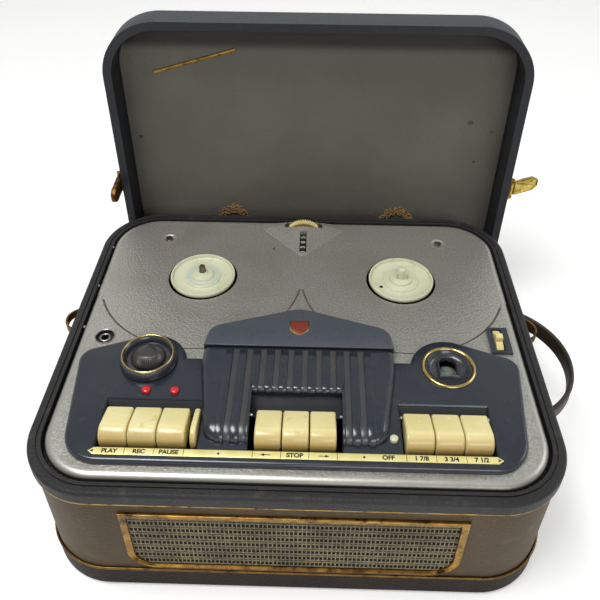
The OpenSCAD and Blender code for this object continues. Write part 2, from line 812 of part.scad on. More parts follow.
module key_play() key(-key_group_x - key_pitch, key_w, arm_shift);
module key_record() key(-key_group_x, key_w, arm_shift);
module key_pause() key(-key_group_x + key_pitch, key_w, arm_shift);
module key_rewind() key(-mid_pitch, mid_w, arm_shift);
module key_stop() key(0, mid_w, arm_shift);
module key_forward() key(mid_pitch, mid_w, arm_shift);
module key_slow() key(key_group_x - key_pitch, key_w, arm_shift);
module key_middle() key(key_group_x, key_w, arm_shift);
module key_fast() key(key_group_x + key_pitch, key_w, arm_shift);
module side_lever() key(lever_x, lever_w, 0);

rod_half = 155;
bracket_x = [-152, -52, 52, 152];
bracket_t = 2;

module key_rod() color(steel) translate([0, pivot_y, pivot_z]) along_x(2 * rod_half, rod_r);

// Plates under the deck that carry the key rod and the counter's axle
module deck_brackets() color(steel) {
  difference() {
    for (x = bracket_x) translate([x - bracket_t / 2, pivot_y - 5, pivot_z - 5])
      cube([bracket_t, 10, deck_under - pivot_z + 5]);
    translate([0, pivot_y, pivot_z]) along_x(2 * rod_half + 2, rod_r + run_gap);
  }
  difference() {
    for (y = [counter_y0 - 2.5, (drum_end + wheel_y) / 2 - 0.9])
      translate([-8, y, axle_z - 6]) cube([16, 1.8, deck_under - axle_z + 6]);
    translate([0, 0, axle_z]) along_y(0, 300, rod_r + run_gap);
  }
}

// Dials

knob_r = 23;
knob_rim_r = 21.2;
knob_h = 8.5;
knob_gap = 0.4;
knob_z = deck_z + field_rise + panel_h + knob_gap;
tone_r = 16.5;

module volume_knob() color("#2d2e31") translate([-dial_x, dial_y, knob_z]) difference() {
  union() {
    cylinder(h = knob_h, r1 = knob_r, r2 = knob_rim_r);
    translate([0, 0, -22]) cylinder(h = 23, r = tube_r);
  }
  translate([0, 0, 2.5]) cylinder(h = knob_h, r1 = tone_r + 0.8, r2 = knob_rim_r - 1.6);
  translate([0, 0, -23]) cylinder(h = 40, r = shaft_r + run_gap);
}

module tone_knob() color("#3a3835") translate([-dial_x, dial_y, knob_z]) {
  translate([0, 0, 3]) rotate_extrude() polygon([[0, 0], [tone_r, 0], [tone_r, 1.2], [7, 7], [6, 7.4], [0, 7]]);
  for (i = [0 : 23]) rotate(i * 15) translate([0, 0, 3]) rotate([90, 0, 90]) linear_extrude(tone_r)
    polygon([[-0.5, 0], [0.5, 0], [0.5, 0.5], [-0.5, 0.5]]);
  translate([0, 0, -30]) cylinder(h = 34, r = shaft_r);
}

module volume_control() color(steel) translate([-dial_x, dial_y, 0]) difference() {
  union() {
    translate([0, 0, deck_under - 32]) cylinder(h = 20, r = 12);
    translate([0, 0, deck_under - 13]) cylinder(h = 13, r = 7);
  }
  translate([0, 0, knob_z - 22.5]) cylinder(h = 40, r = tube_r + run_gap);
  translate([0, 0, knob_z - 30.5]) cylinder(h = 40, r = shaft_r + run_gap);
}

// Reels

bearing_r = 7;
platter_top = 3.5;
hub_low = -9;

// Section of a platter: rim, shallow dish, raised middle and hub
module platter_section() {
  r = platter_d / 2;
  polygon([[shaft_r, hub_low], [bearing_r - 0.5, hub_low], [bearing_r - 0.5, -1.5], [r - 2, -1.5], [r, 0.5],
    [r, platter_top - 0.8], [r - 0.8, platter_top], [r - 3, platter_top], [r - 4, platter_top - 1.4],
    [13, platter_top - 1.4], [12, platter_top - 0.2], [7, platter_top - 0.2], [6, platter_top + 1.6], [shaft_r, platter_top + 1.6]]);
}

module supply_platter() color(cream) translate([-reel_pitch / 2, reel_y, deck_z]) rotate_extrude() platter_section();

spline_count = 8;
reel_hub_r = 3.9;
spindle_low = -42;

module supply_spindle() color(steel) translate([-reel_pitch / 2, reel_y, deck_z]) {
  translate([0, 0, spindle_low]) cylinder(h = platter_top + 1.6 - spindle_low, r = shaft_r);
  translate([0, 0, platter_top + 1.6]) {
    cylinder(h = 8, r = 2.3);
    for (i = [0 : spline_count / 2 - 1]) rotate(i * 360 / spline_count) translate([-2.9, -0.5, 0]) cube([5.8, 1, 7]);
  }
}

module takeup_platter() color(cream) translate([reel_pitch / 2, reel_y, deck_z]) difference() {
  union() {
    rotate_extrude() platter_section();
    translate([0, 0, spindle_low]) cylinder(h = platter_top + 3 - spindle_low, r = shaft_r);
    cylinder(h = 15, r = reel_hub_r);
    translate([0, 0, 15]) cylinder(h = 1.6, r1 = reel_hub_r, r2 = reel_hub_r - 1.2);
    for (i = [0 : 2]) rotate(90 + i * 120) translate([0, -0.8, platter_top]) cube([reel_hub_r + 1.4, 1.6, 8.5]);
  }
  rotate(205) translate([17, 0, -3]) cylinder(h = 10, r = 1.3);
}

// Counter

module counter_drums() color("#1d1d1f") translate([0, 0, axle_z]) {
  along_y(counter_y0 - 3, wheel_y + wheel_t + 0.6, rod_r);
  for (i = [0 : drum_count - 1]) along_y(drum_y + i * drum_pitch, drum_y + i * drum_pitch + drum_w, drum_r);
}

knurl_count = 48;

module counter_wheel() color(cream) translate([0, 0, axle_z]) difference() {
  along_y(wheel_y, wheel_y + wheel_t, wheel_r);
  along_y(wheel_y - 1, wheel_y + wheel_t + 1, rod_r + 0.02);
  for (i = [0 : knurl_count - 1]) rotate([0, i * 360 / knurl_count, 0]) translate([wheel_r + 0.3, wheel_y - 1, -0.4])
    rotate([0, 45, 0]) cube([0.9, wheel_t + 2, 0.9]);
}

// Drive

post_r = 4;
post_front_x = 140;
post_front_y = -44;
fly_r = 38;
fly_t = 12;
fly_z = chassis_z + 14;
motor_x = -60;
motor_y = -20;
motor_r = 32;
motor_h = 45;
motor_shaft_r = 3;
pulley_r = 7.5;
belt_t = 1.5;
belt_h = 4;
belt_gap = 0.3;

module chassis() color(steel) difference() {
  union() {
    translate([-150, -58, chassis_z]) cube([300, 188, chassis_t]);
    for (x = [-1, 1]) {
      translate([x * screw_x, screw_y, chassis_z]) cylinder(h = deck_under - chassis_z, r = post_r);
      translate([x * post_front_x, post_front_y, chassis_z]) cylinder(h = deck_under - chassis_z, r = post_r);
      translate([x * reel_pitch / 2, reel_y, chassis_z]) cylinder(h = deck_z + hub_low - 0.3 - chassis_z, r = bearing_r);
    }
    translate([capstan_x, capstan_y, chassis_z]) cylinder(h = fly_z - 0.4 - chassis_z, r = 6);
    belt_guide();
  }
  for (x = [-1, 1]) {
    translate([x * reel_pitch / 2, reel_y, chassis_z - 1]) cylinder(h = 80, r = shaft_r + run_gap);
    translate([x * screw_x, screw_y, deck_under - 20]) cylinder(h = 30, r = screw_r + run_gap);
  }
  translate([capstan_x, capstan_y, chassis_z - 1]) cylinder(h = 30, r = capstan_r + run_gap);
  translate([motor_x, motor_y, chassis_z - 1]) cylinder(h = 10, r = motor_shaft_r + 2);
}

module motor() color("#6a6d70") translate([motor_x, motor_y, chassis_z - motor_h]) difference() {
  union() {
    cylinder(h = motor_h - 6, r = motor_r);
    translate([0, 0, motor_h - 6]) cylinder(h = 6, r = motor_r - 6);
  }
  translate([0, 0, 12]) cylinder(h = motor_h, r = motor_shaft_r + run_gap);
}

module motor_pulley() color(brass) translate([motor_x, motor_y, 0]) {
  translate([0, 0, chassis_z - 30]) cylinder(h = fly_z + fly_t - chassis_z + 30, r = motor_shaft_r);
  translate([0, 0, fly_z]) cylinder(h = fly_t, r = pulley_r);
}

module flywheel() color(steel) translate([capstan_x, capstan_y, 0]) {
  translate([0, 0, chassis_z + 3]) cylinder(h = deck_z + 9 - chassis_z - 3, r = capstan_r);
  translate([0, 0, fly_z]) cylinder(h = fly_t, r = fly_r);
}

belt_dx = capstan_x - motor_x;
belt_dy = capstan_y - motor_y;
belt_span = sqrt(belt_dx * belt_dx + belt_dy * belt_dy);
belt_lean = asin((fly_r - pulley_r) / belt_span);
belt_steps = 20;

// From the pulley's centre, with X towards the flywheel's
module belt_place() translate([motor_x, motor_y, 0]) rotate(atan2(belt_dy, belt_dx)) children();

// Loop round pulley and flywheel at a distance g from both
function belt_loop(g) = concat(
  [for (i = [0 : belt_steps]) let (turn = 90 + belt_lean + (180 - 2 * belt_lean) * i / belt_steps)
    [(pulley_r + g) * cos(turn), (pulley_r + g) * sin(turn)]],
  [for (i = [0 : 2 * belt_steps]) let (turn = -90 - belt_lean + (90 + belt_lean) * i / belt_steps)
    [belt_span + (fly_r + g) * cos(turn), (fly_r + g) * sin(turn)]]);

module drive_belt() color("#1c1c1c") belt_place()
  translate([0, 0, fly_z + (fly_t - belt_h) / 2]) linear_extrude(belt_h) difference() {
    polygon(belt_loop(belt_gap + belt_t));
    polygon(belt_loop(belt_gap));
  }

// Post beside the belt's straight run that keeps it on its pulleys
module belt_guide() {
  away = (pulley_r + fly_r) / 2 + belt_gap + belt_t + belt_gap + post_r;
  belt_place() translate([belt_span / 2 - away * sin(belt_lean), away * cos(belt_lean), chassis_z])
    cylinder(h = fly_z + fly_t - chassis_z, r = post_r);
}

head_h = 9;
pinch_r = 8;
pinch_pivot = [54, -58];
pinch_rest = 6;
pinch_pin_r = 1.5;

module tape_heads() color("#5f6468") translate([0, 0, deck_z + field_rise]) {
  for (x = [-30, -2]) translate([x - 7, front_back - 14, 0]) cube([14, 13, head_h]);
  for (x = [-58, 58]) translate([x, front_back + slot_w + 3, 0]) cylinder(h = head_h, r = 1.8);
  translate([pinch_pivot[0], pinch_pivot[1], 0]) cylinder(h = 8, r = pinch_pin_r);
}

// Rubber roller on its swinging arm, held clear of the capstan
module pinch_roller() color("#26282a") translate([0, 0, deck_z + field_rise]) difference() {
  roll_y = capstan_y - capstan_r - pinch_r - pinch_rest;
  dx = pinch_pivot[0] - capstan_x;
  dy = pinch_pivot[1] - roll_y;
  union() {
    translate([capstan_x, roll_y, 2.2]) cylinder(h = head_h - 1.6, r = pinch_r);
    translate([capstan_x, roll_y, 0.4]) cylinder(h = 3, r = 3);
    translate([pinch_pivot[0], pinch_pivot[1], 0.4]) cylinder(h = 6, r = 3);
    translate([capstan_x, roll_y, 0.4]) rotate(atan2(dy, dx)) translate([0, -2.4, 0]) cube([sqrt(dx * dx + dy * dy), 4.8, 1.5]);
  }
  translate([pinch_pivot[0], pinch_pivot[1], -1]) cylinder(h = 20, r = pinch_pin_r + run_gap);
}

amp_x = 38;
amp_y = 10;
amp_w = 128;
amp_d = 125;
amp_h = 15;
valve_r = 10;

module amplifier() color("#7d7f7c") translate([amp_x, amp_y, floor_t]) difference() {
  cube([amp_w, amp_d, amp_h]);
  translate([2, 2, -1]) cube([amp_w - 4, amp_d - 4, amp_h - 1]);
}

module valves() color("#aab4b4")
  for (i = [0 : 2]) translate([amp_x + 24 + i * 40, amp_y + 30, floor_t + amp_h]) {
    cylinder(h = 4, r = valve_r + 1);
    rotate_extrude() {
      translate([0, 4]) square([valve_r, 30]);
      translate([0, 4]) square([valve_r - 4, 34]);
      translate([valve_r - 4, 34]) circle(4);
    }
  }

// Lid, standing on its back wall behind the case

lid_y = case_d / 2 + lid_stand_gap;
lining_t = 2.5;
lining_gap = 0.2;

// From the lid's own plan, with its panel up, to the standing place
module stand() translate([lid_shift, lid_y, case_d / 2]) rotate([90, 0, 180]) children();

module lid_shell() color(charcoal) stand() difference() {
  soft_slab(case_w, case_d, corner_r, lid_h, lid_edge);
  translate([0, 0, -eps]) linear_extrude(lid_h - lid_top_t + eps) case_outline(lid_wall);
}

module lid_lining() color("#57564f") stand() translate([0, 0, lid_h - lid_top_t - lining_t])
  linear_extrude(lining_t) case_outline(lid_wall + lining_gap);

latch_z = case_d / 2 - catch_y;
latch_y = lid_y + 9;
latch_w = 15.4;
latch_t = 1.6;
pin_r = 1.2;
pin_out = 3.8;
ear_h = 3;
plate_t = 1.2;

module latch_pin_place(side) {
  translate([lid_shift + side * (case_w / 2 + pin_out), latch_y, latch_z]) children();
}

module latch_hinges() color(brass) for (side = [-1, 1]) latch_pin_place(side) {
  tall = latch_w + 2 * ear_h + 0.6;
  translate([side > 0 ? -pin_out : pin_out - plate_t, -6, -tall / 2]) cube([plate_t, 14, tall]);
  for (z = [-tall / 2, tall / 2 - ear_h]) translate([0, 0, z]) linear_extrude(ear_h) {
    circle(2.4);
    translate([side > 0 ? -pin_out : 0, -2.4]) square([pin_out, 4.8]);
  }
  translate([0, 0, -tall / 2]) cylinder(h = tall, r = pin_r);
}

// Brass strap that hooks on to the case's catch: knuckle, plate and raised end
module latch(side, angle) color(brass) latch_pin_place(side) rotate(side * angle) difference() {
  union() {
    translate([0, 0, -latch_w / 2]) cylinder(h = latch_w, r = 2.4);
    translate([-latch_t / 2, 0, 0]) rotate([90, 0, 90]) linear_extrude(latch_t) polygon([[0, -latch_w / 2], [0, latch_w / 2],
      [6 - latch_len, latch_w / 2], [-latch_len, latch_w / 4], [-latch_len, -latch_w / 4], [6 - latch_len, -latch_w / 2]]);
    translate([0, -latch_len + 12, 0]) rotate([90, 0, 90]) linear_extrude(latch_t / 2 + 1.2) rounded(12, 8, 2);
  }
  translate([0, 0, -latch_w]) cylinder(h = 2 * latch_w, r = pin_r + run_gap);
}

module latch_left() latch(-1, 0);
module latch_right() latch(1, latch_open);

base_tray();
case_body();
rim_band();
case_trims();
grille_frame();
grille_cloth();
loudspeaker();
lid_catches();
handle_brackets();
handle_strap();
deck_plate();
deck_screws();
control_panel();
head_cover_rear();
head_cover_front();
badge();
label_strip();
eye_bezel();
eye_dish();
eye_tube();
jack_socket();
switch_bezel();
switch_rocker();
key_rod();
deck_brackets();
chassis();
motor();
drive_belt();
tape_heads();
amplifier();
valves();
volume_control();
lid_shell();
lid_lining();
latch_hinges();
latch_left();
latch_right();
supply_platter();
supply_spindle();
takeup_platter();
counter_drums();
counter_wheel();
volume_knob();
tone_knob();
key_play();
key_record();
key_pause();
key_rewind();
key_stop();
key_forward();
key_slow();
key_middle();
key_fast();
side_lever();
off_button();
red_button_left();
red_button_right();
flywheel();
motor_pulley();
pinch_roller();
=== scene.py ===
# %% [markdown]
# # A portable reel-to-reel tape recorder
# The recorder stands open on a table: a covered wooden case with a metal deck, and its loose lid set
# upright behind it. The frame brings every CAD part to its true place, in metres, with X to the right, Y to
# the back and Z up. This lesson gives each part its finish, and remodels the parts whose charm is in soft
# edges: the ivory keys, the ribbed hood, the knobs, the woven grille and the leather handle.

# %% Load the frame
import math
import random

import bmesh
import bpy
from mathutils import Matrix, Vector


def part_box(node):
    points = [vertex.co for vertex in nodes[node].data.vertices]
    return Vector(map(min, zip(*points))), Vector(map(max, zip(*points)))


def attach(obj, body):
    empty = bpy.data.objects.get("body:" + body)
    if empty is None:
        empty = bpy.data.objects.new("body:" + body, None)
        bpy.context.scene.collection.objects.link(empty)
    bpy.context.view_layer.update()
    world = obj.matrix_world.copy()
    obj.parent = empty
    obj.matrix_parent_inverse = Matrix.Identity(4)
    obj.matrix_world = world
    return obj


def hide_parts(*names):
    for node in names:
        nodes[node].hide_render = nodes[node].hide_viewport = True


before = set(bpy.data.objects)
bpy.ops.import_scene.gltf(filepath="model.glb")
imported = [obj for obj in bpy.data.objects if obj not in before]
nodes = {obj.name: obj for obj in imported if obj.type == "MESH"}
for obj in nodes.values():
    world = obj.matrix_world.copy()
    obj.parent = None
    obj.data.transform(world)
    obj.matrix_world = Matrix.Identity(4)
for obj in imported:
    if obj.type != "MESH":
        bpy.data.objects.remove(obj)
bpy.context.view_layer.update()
MM = 0.001

# %% [markdown]
# ## The camera
# The viewpoint was worked out from the case itself: its deck, its rim and the standing lid are known sizes,
# so a pinhole camera can be fitted to their corners. It looks down at about 38 degrees from in front. The
# picture is a crop, so the lens axis does not pass through its middle; the camera's shift says by how much.

# %% Camera
FRAME_PIXELS = 600
FOCAL_PIXELS = 701.45
AXIS_PIXELS = (300.99, 240.05)


def into_scene(name, data):
    """A new object of that name, linked into the scene."""
    made = bpy.data.objects.new(name, data)
    bpy.context.scene.collection.objects.link(made)
    return made


camera_data = bpy.data.cameras.new("photo_camera")
camera_data.sensor_width = 36.0
camera_data.lens = camera_data.sensor_width * FOCAL_PIXELS / FRAME_PIXELS
camera_data.shift_x = (FRAME_PIXELS / 2 - AXIS_PIXELS[0]) / FRAME_PIXELS
camera_data.shift_y = (AXIS_PIXELS[1] - FRAME_PIXELS / 2) / FRAME_PIXELS
camera_data.clip_start = 0.02
camera = into_scene("photo_camera", camera_data)
right = Vector((0.999646, 0.025956, 0.005793))
up = Vector((-0.020482, 0.612454, 0.790241))
turned = Matrix((right, up, right.cross(up))).transposed().to_4x4()
eye = Vector((9.7, -431.2, 554.8)) * MM
camera.matrix_world = Matrix.Translation(eye) @ turned
bpy.context.scene.camera = camera
print("lens", round(camera_data.lens, 2), "mm, shift", round(camera_data.shift_y, 3))

# %% [markdown]
# ## Helpers for finishes
# Colours are written as sRGB hex values, as they look on screen, and one function turns them to the linear
# values that the shader needs. A second function adds a node with its settings and links. Every finish
# starts from the same pair: a shader, and coordinates in metres that stay with the piece when it moves.
# Most finishes share two habits of old surfaces, so these have helpers: a colour gives way to another, in
# soft blotches or along a height, and a fine pattern varies both the gloss and the relief.

# %% Finish helpers


def linear(code):
    channels = [int(code[i:i + 2], 16) / 255 for i in (1, 3, 5)]
    return [c / 12.92 if c <= 0.04045 else ((c + 0.055) / 1.055) ** 2.4 for c in channels] + [1.0]


def add(tree, kind, inputs=None, into=None, **settings):
    """Adds a node, sets and links its inputs, and links its first output into a socket if one is given."""
    made = tree.nodes.new(kind)
    for key, value in settings.items():
        setattr(made, key, value)
    for key, value in (inputs or {}).items():
        if isinstance(value, bpy.types.NodeSocket):
            tree.links.new(value, made.inputs[key])
        else:
            made.inputs[key].default_value = linear(value) if isinstance(value, str) else value
    if into:
        tree.links.new(made.outputs[0], into)
    return made


def start_finish(name, **sockets):
    """New material, its nodes, its shader and the coordinates of a place on the piece, in metres."""
    finish = bpy.data.materials.new(name)
    finish.use_nodes = True
    tree = finish.node_tree
    shader = tree.nodes["Principled BSDF"]
    for key, value in sockets.items():
        shader.inputs[key.replace("_", " ")].default_value = value
    place = add(tree, "ShaderNodeTexCoord").outputs["Object"]
    return finish, tree, shader, place


def per_mm(size):
    """Scale of a pattern whose features are size millimetres apart."""
    return 1000.0 / size


def masked(tree, value, low, high, under, over, most=1.0, **settings):
    """The colour under, giving way to the colour over as a value goes from low to high."""
    span = {"Value": value, "From Min": low, "From Max": high, "To Max": most}
    mask = add(tree, "ShaderNodeMapRange", span, **settings)
    return add(tree, "ShaderNodeMix", {0: mask.outputs[0], 6: under, 7: over}, data_type="RGBA").outputs[2]


def blotched(tree, place, size, low, high, under, over, detail=3.0):
    """The colour under, with soft blotches of the colour over, about size millimetres across."""
    noise = add(tree, "ShaderNodeTexNoise", {"Vector": place, "Scale": per_mm(size), "Detail": detail})
    return masked(tree, noise.outputs["Fac"], low, high, under, over)


def worn(tree, shader, sheen, low, high, relief, depth, strength):
    """One pattern varies the roughness from low to high, and one raises the surface by depth millimetres."""
    dull = {"Value": sheen, "To Min": low, "To Max": high}
    add(tree, "ShaderNodeMapRange", dull, shader.inputs["Roughness"])
    lift = {"Height": relief, "Distance": depth * MM, "Strength": strength}
    add(tree, "ShaderNodeBump", lift, shader.inputs["Normal"])


print("finish helpers ready")

# %% [markdown]
# ## Leathercloth
# The case is covered in leathercloth: cotton coated with vinyl and pressed between grained rollers. The eye
# sees a low pebble grain, a dull sheen, and paler scuffs where it was knocked. The real grain is well under
# a millimetre, too fine for the picture, so it is drawn at a little over one. The lid's faces that look up
# are painted paler, as painted top light along with some dust, and the top of its lining is painted dark,
# as the painted shadow of the lid's top wall.

# %% Leathercloth
# Painted shadow at the top of the lid's lining: its colour, and the height in metres over which it fades in.
LINING_SHADOW, LINING_SHADOW_FADE = "#1d1815", 0.012


def leathercloth(name, base, dark, scuff, grain_mm, scuffed=0.62, shine=0.3, dust_and_top_light=None,
                 shaded_above=None):
    finish, tree, shader, place = start_finish(name, IOR=1.53, Specular_IOR_Level=shine)
    grain = {"Vector": place, "Scale": per_mm(grain_mm)}
    pebbles = add(tree, "ShaderNodeTexVoronoi", grain, feature="SMOOTH_F1").outputs["Distance"]
    threads = add(tree, "ShaderNodeTexNoise", {"Vector": place, "Scale": per_mm(0.8), "Detail": 2.0})
    shade = blotched(tree, place, 90, 0.4, 0.75, base, dark)
    shade = masked(tree, pebbles, 0.0, 0.9, shade, dark, 0.6)
    shade = blotched(tree, place, 14, scuffed, scuffed + 0.35, shade, scuff, 7.0)
    # Painted top light, along with some dust: faces that look up are painted paler.
    if dust_and_top_light:
        facing = add(tree, "ShaderNodeSeparateXYZ", {0: tree.nodes["Texture Coordinate"].outputs["Normal"]})
        shade = masked(tree, facing.outputs["Z"], 0.3, 0.9, shade, dust_and_top_light)
    # Painted shadow: above a height the colour darkens smoothly to a near-black brown.
    if shaded_above:
        height = add(tree, "ShaderNodeSeparateXYZ", {0: place}).outputs["Z"]
        full = shaded_above + LINING_SHADOW_FADE
        shade = masked(tree, height, shaded_above, full, shade, LINING_SHADOW, 0.9, interpolation_type="SMOOTHSTEP")
    tree.links.new(shade, shader.inputs["Base Color"])
    worn(tree, shader, threads.outputs["Fac"], 0.42, 0.66, pebbles, 0.4, 0.9)
    return finish


# The lid's covering is painted paler on its upward faces, as painted top light along with some dust.
covering_dark = leathercloth("leathercloth_grained_dark", "#24262b", "#1b1d22", "#3a3935", 1.3,
                             dust_and_top_light="#393e42")
covering_rim = leathercloth("leathercloth_grained_scuffed", "#2c2b2d", "#1d1d1e", "#4d4944", 1.3, 0.6)
covering_tray = leathercloth("leathercloth_grained_worn", "#271d14", "#1b140e", "#43352a", 1.3, shine=0.1)
covering_taupe = leathercloth("leathercloth_grained_taupe", "#5f513e", "#4a3d2d", "#6c604d", 1.5, 0.56, 0.15)
# The lining is painted dark along its top, as the painted shadow of the lid's top wall.
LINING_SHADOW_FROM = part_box("lid_lining")[1].z - 0.032
lining_cloth = leathercloth("leathercloth_grained_grey", "#6d6b61", "#5c5a51", "#76736a", 1.2, 0.72,
                            shaded_above=LINING_SHADOW_FROM)
print("leathercloth", covering_dark.name, covering_taupe.name, lining_cloth.name)

# %% [markdown]
# ## Hammertone paint
# The deck is pressed steel sprayed with silver hammertone enamel. Silicone in the paint draws it into tiny
# hammered cells as it dries, so the surface sparkles softly and never mirrors. The cells are one to two
# millimetres wide. Aluminium flake makes it act as a metal, and age adds a warm, slightly olive haze. On
# the deck's rolled edge the paint runs smooth, and the lower half of the bend is painted dark, as painted
# shade where the bend turns down towards the rim.

# %% Hammertone
# Heights in metres between which the painted shade on the rolled edge's lower half fades in.
ROLL_SHADE_TOP, ROLL_SHADE_FULL = 0.1261, 0.1240


def silver_paint(name, pale, deep, haze, hazed, hammered=0.8, rolled=None):
    finish, tree, shader, place = start_finish(name, Metallic=0.75)
    cells = add(tree, "ShaderNodeTexVoronoi", {"Vector": place, "Scale": per_mm(1.5)}, feature="SMOOTH_F1")
    ripple = add(tree, "ShaderNodeTexNoise", {"Vector": place, "Scale": per_mm(1.4), "Detail": 4.0})
    shade = blotched(tree, place, 1.4, 0.3, 0.7, deep, pale, 4.0)
    shade = blotched(tree, place, 70, hazed, hazed + 0.35, shade, haze)
    shade = blotched(tree, place, 3.5, 0.75, 0.8, shade, "#4e4a41", 2.0)
    # Painted shade: below a height the rolled edge takes the dark colour.
    if rolled:
        height = add(tree, "ShaderNodeSeparateXYZ", {0: place}).outputs["Z"]
        shade = masked(tree, height, ROLL_SHADE_TOP, ROLL_SHADE_FULL, shade, rolled)
    tree.links.new(shade, shader.inputs["Base Color"])
    worn(tree, shader, ripple.outputs["Fac"], 0.3, 0.46, cells.outputs["Distance"], 0.3, hammered)
    return finish


hammertone = silver_paint("hammertone_enamel_sprayed", "#c8c7bf", "#a09f97", "#a39d8c", 0.48)
# The rolled edge's paint, with its painted shade on the lower half of the bend.
rolled_paint = silver_paint("hammertone_enamel_rolled", "#bab9b2", "#aeada5", "#a29d8f", 0.55, 0.1,
                            "#3f3b35")
darker_step_paint = silver_paint("hammertone_enamel_darker", "#8a8370", "#756e5b", "#6a6250", 0.3)
roof_paint = silver_paint("hammertone_enamel_worn", "#cccbc1", "#b3b1a7", "#a7a292", 0.5)
print(hammertone.name, rolled_paint.name, darker_step_paint.name, roof_paint.name)

# %% [markdown]
# ## Slate polystyrene, ivory urea and other mouldings
# The control panel and head covers are moulded polystyrene in a blue slate colour: smooth, glossy, hazed by
# handling, with brown dust in the hollows. Knobs are dark phenolic. The keys are moulded urea in ivory,
# which lets light a little way in, so they get a touch of subsurface scattering. Their fronts are painted a
# darker, warmer ivory than their tops, as painted shade. One recipe serves all of them: a colour, a tint,
# grime, and a hazy gloss. Felt, ink and paint use it too, with less gloss.

# %% Plastics


def moulding(name, base, tint, grime, gloss, ior, depth=0.0, lacquer=0.0, front=None):
    finish, tree, shader, place = start_finish(name, IOR=ior, Coat_Weight=lacquer, Coat_Roughness=0.08)
    shade = blotched(tree, place, 30, 0.35, 0.7, base, tint)
    shade = blotched(tree, place, 9, 0.6, 0.85, shade, grime, 6.0)
    # Painted shade: faces that look forward take the darker front colour.
    if front:
        facing = add(tree, "ShaderNodeSeparateXYZ", {0: tree.nodes["Texture Coordinate"].outputs["Normal"]})
        shade = masked(tree, facing.outputs["Y"], 0.0, -1.0, shade, front)
    tree.links.new(shade, shader.inputs["Base Color"])
    mist = {"Vector": place, "Scale": per_mm(6), "Detail": 5.0}
    haze = add(tree, "ShaderNodeTexNoise", mist).outputs["Fac"]
    worn(tree, shader, haze, gloss - 0.08, gloss + 0.12, haze, 0.08, 0.25)
    if depth:
        shader.inputs["Subsurface Weight"].default_value = depth
        shader.inputs["Subsurface Radius"].default_value = (0.004, 0.0025, 0.0012)
        shader.inputs["Subsurface Scale"].default_value = 0.5
    return finish


STYRENE, UREA, PHENOLIC, ACRYLIC, PAINT, RUBBER = 1.59, 1.54, 1.6, 1.49, 1.5, 1.52
slate = moulding("polystyrene_moulded_slate", "#1e2530", "#242930", "#34332e", 0.2, STYRENE, lacquer=0.1)
slate_faded = moulding("polystyrene_faded_slate", "#444a52", "#4a4e54", "#504e49", 0.28, STYRENE,
                       lacquer=0.15)
slate_dusty = moulding("polystyrene_dusty_slate", "#33363c", "#3d3b37", "#4d483c", 0.3, STYRENE, lacquer=0.1)
# The keys' fronts are painted darker and warmer than their tops, as painted shade.
ivory = moulding("urea_moulded_ivory", "#eadfa6", "#e3d596", "#cdb878", 0.22, UREA, 0.08, front="#b99d5c")
cream = moulding("urea_moulded_cream", "#cfd1b4", "#c5c8a8", "#a3a585", 0.3, UREA, 0.06)
blue_grey = moulding("urea_worn_blue_grey", "#bcc6b8", "#b2bdb2", "#a5aa98", 0.5, UREA)
knob_dark = moulding("phenolic_moulded_dark", "#2a2c32", "#34363b", "#4a4640", 0.24, PHENOLIC, lacquer=0.25)
cone_dark = moulding("phenolic_worn_grey", "#2f2e2c", "#3a3834", "#4f4a40", 0.3, PHENOLIC, lacquer=0.15)
black = moulding("phenolic_moulded_black", "#1c1d1f", "#232427", "#37332e", 0.35, PHENOLIC)
red = moulding("acrylic_polished_red", "#cf1f2b", "#c0151f", "#8d1418", 0.22, ACRYLIC, lacquer=0.4)
badge_red = moulding("enamel_fired_red", "#843425", "#702a1c", "#9c6a3a", 0.35, PAINT)
rubber = moulding("rubber_moulded_black", "#1b1b1b", "#242322", "#35322d", 0.65, RUBBER)
white_paint = moulding("enamel_faded_white", "#aeada4", "#a09e93", "#7f7b6e", 0.5, PAINT)
felt = moulding("felt_pressed_grey", "#262a2e", "#2f3133", "#3e3c38", 0.85, 1.5)
ink = moulding("ink_printed_black", "#17160f", "#201e15", "#2b281c", 0.55, PAINT)
print("mouldings ready")

# %% [markdown]
# ## Metals
# Trim, grille frame, dial rims and latches are drawn or pressed brass under lacquer. Where the lacquer has
# gone the brass has turned brown, in blotches a few millimetres across. Below a set height some brass is
# also painted brown, as painted shade near the floor. The label strip is anodised aluminium in gold, and
# its dye makes it less of a mirror. Hidden works are plain steel.

# %% Metals


def aged_metal(name, bright, dull, stain, low, high, stained, metallic=1.0, browned_and_shaded_below=None):
    finish, tree, shader, place = start_finish(name, Metallic=metallic)
    shade = blotched(tree, place, 12, 0.35, 0.68, bright, dull, 5.0)
    shade = blotched(tree, place, 7, stained, stained + 0.2, shade, stain, 4.0)
    # Painted shade: below a height the colour turns towards the stain colour.
    if browned_and_shaded_below:
        height = add(tree, "ShaderNodeSeparateXYZ", {0: place}).outputs["Z"]
        shade = masked(tree, height, browned_and_shaded_below + 0.01, browned_and_shaded_below, shade, stain, 0.7)
    tree.links.new(shade, shader.inputs["Base Color"])
    rubs = {"Vector": place, "Scale": per_mm(3), "Detail": 5.0}
    wear = add(tree, "ShaderNodeTexNoise", rubs).outputs["Fac"]
    worn(tree, shader, wear, low, high, wear, 0.06, 0.15)
    return finish


brass = aged_metal("brass_drawn_lacquered", "#c9a955", "#a98743", "#5c4122", 0.22, 0.36, 0.55)
bright_brass = aged_metal("brass_turned_polished", "#d9c385", "#c2a765", "#6e5630", 0.1, 0.24, 0.68)
old_brass = aged_metal("brass_pressed_bare", "#cdb75e", "#917a38", "#3d2f17", 0.18, 0.4, 0.55)
worn_brass = aged_metal("brass_rolled_worn", "#a88440", "#7d5c2a", "#462c15", 0.25, 0.42, 0.5)
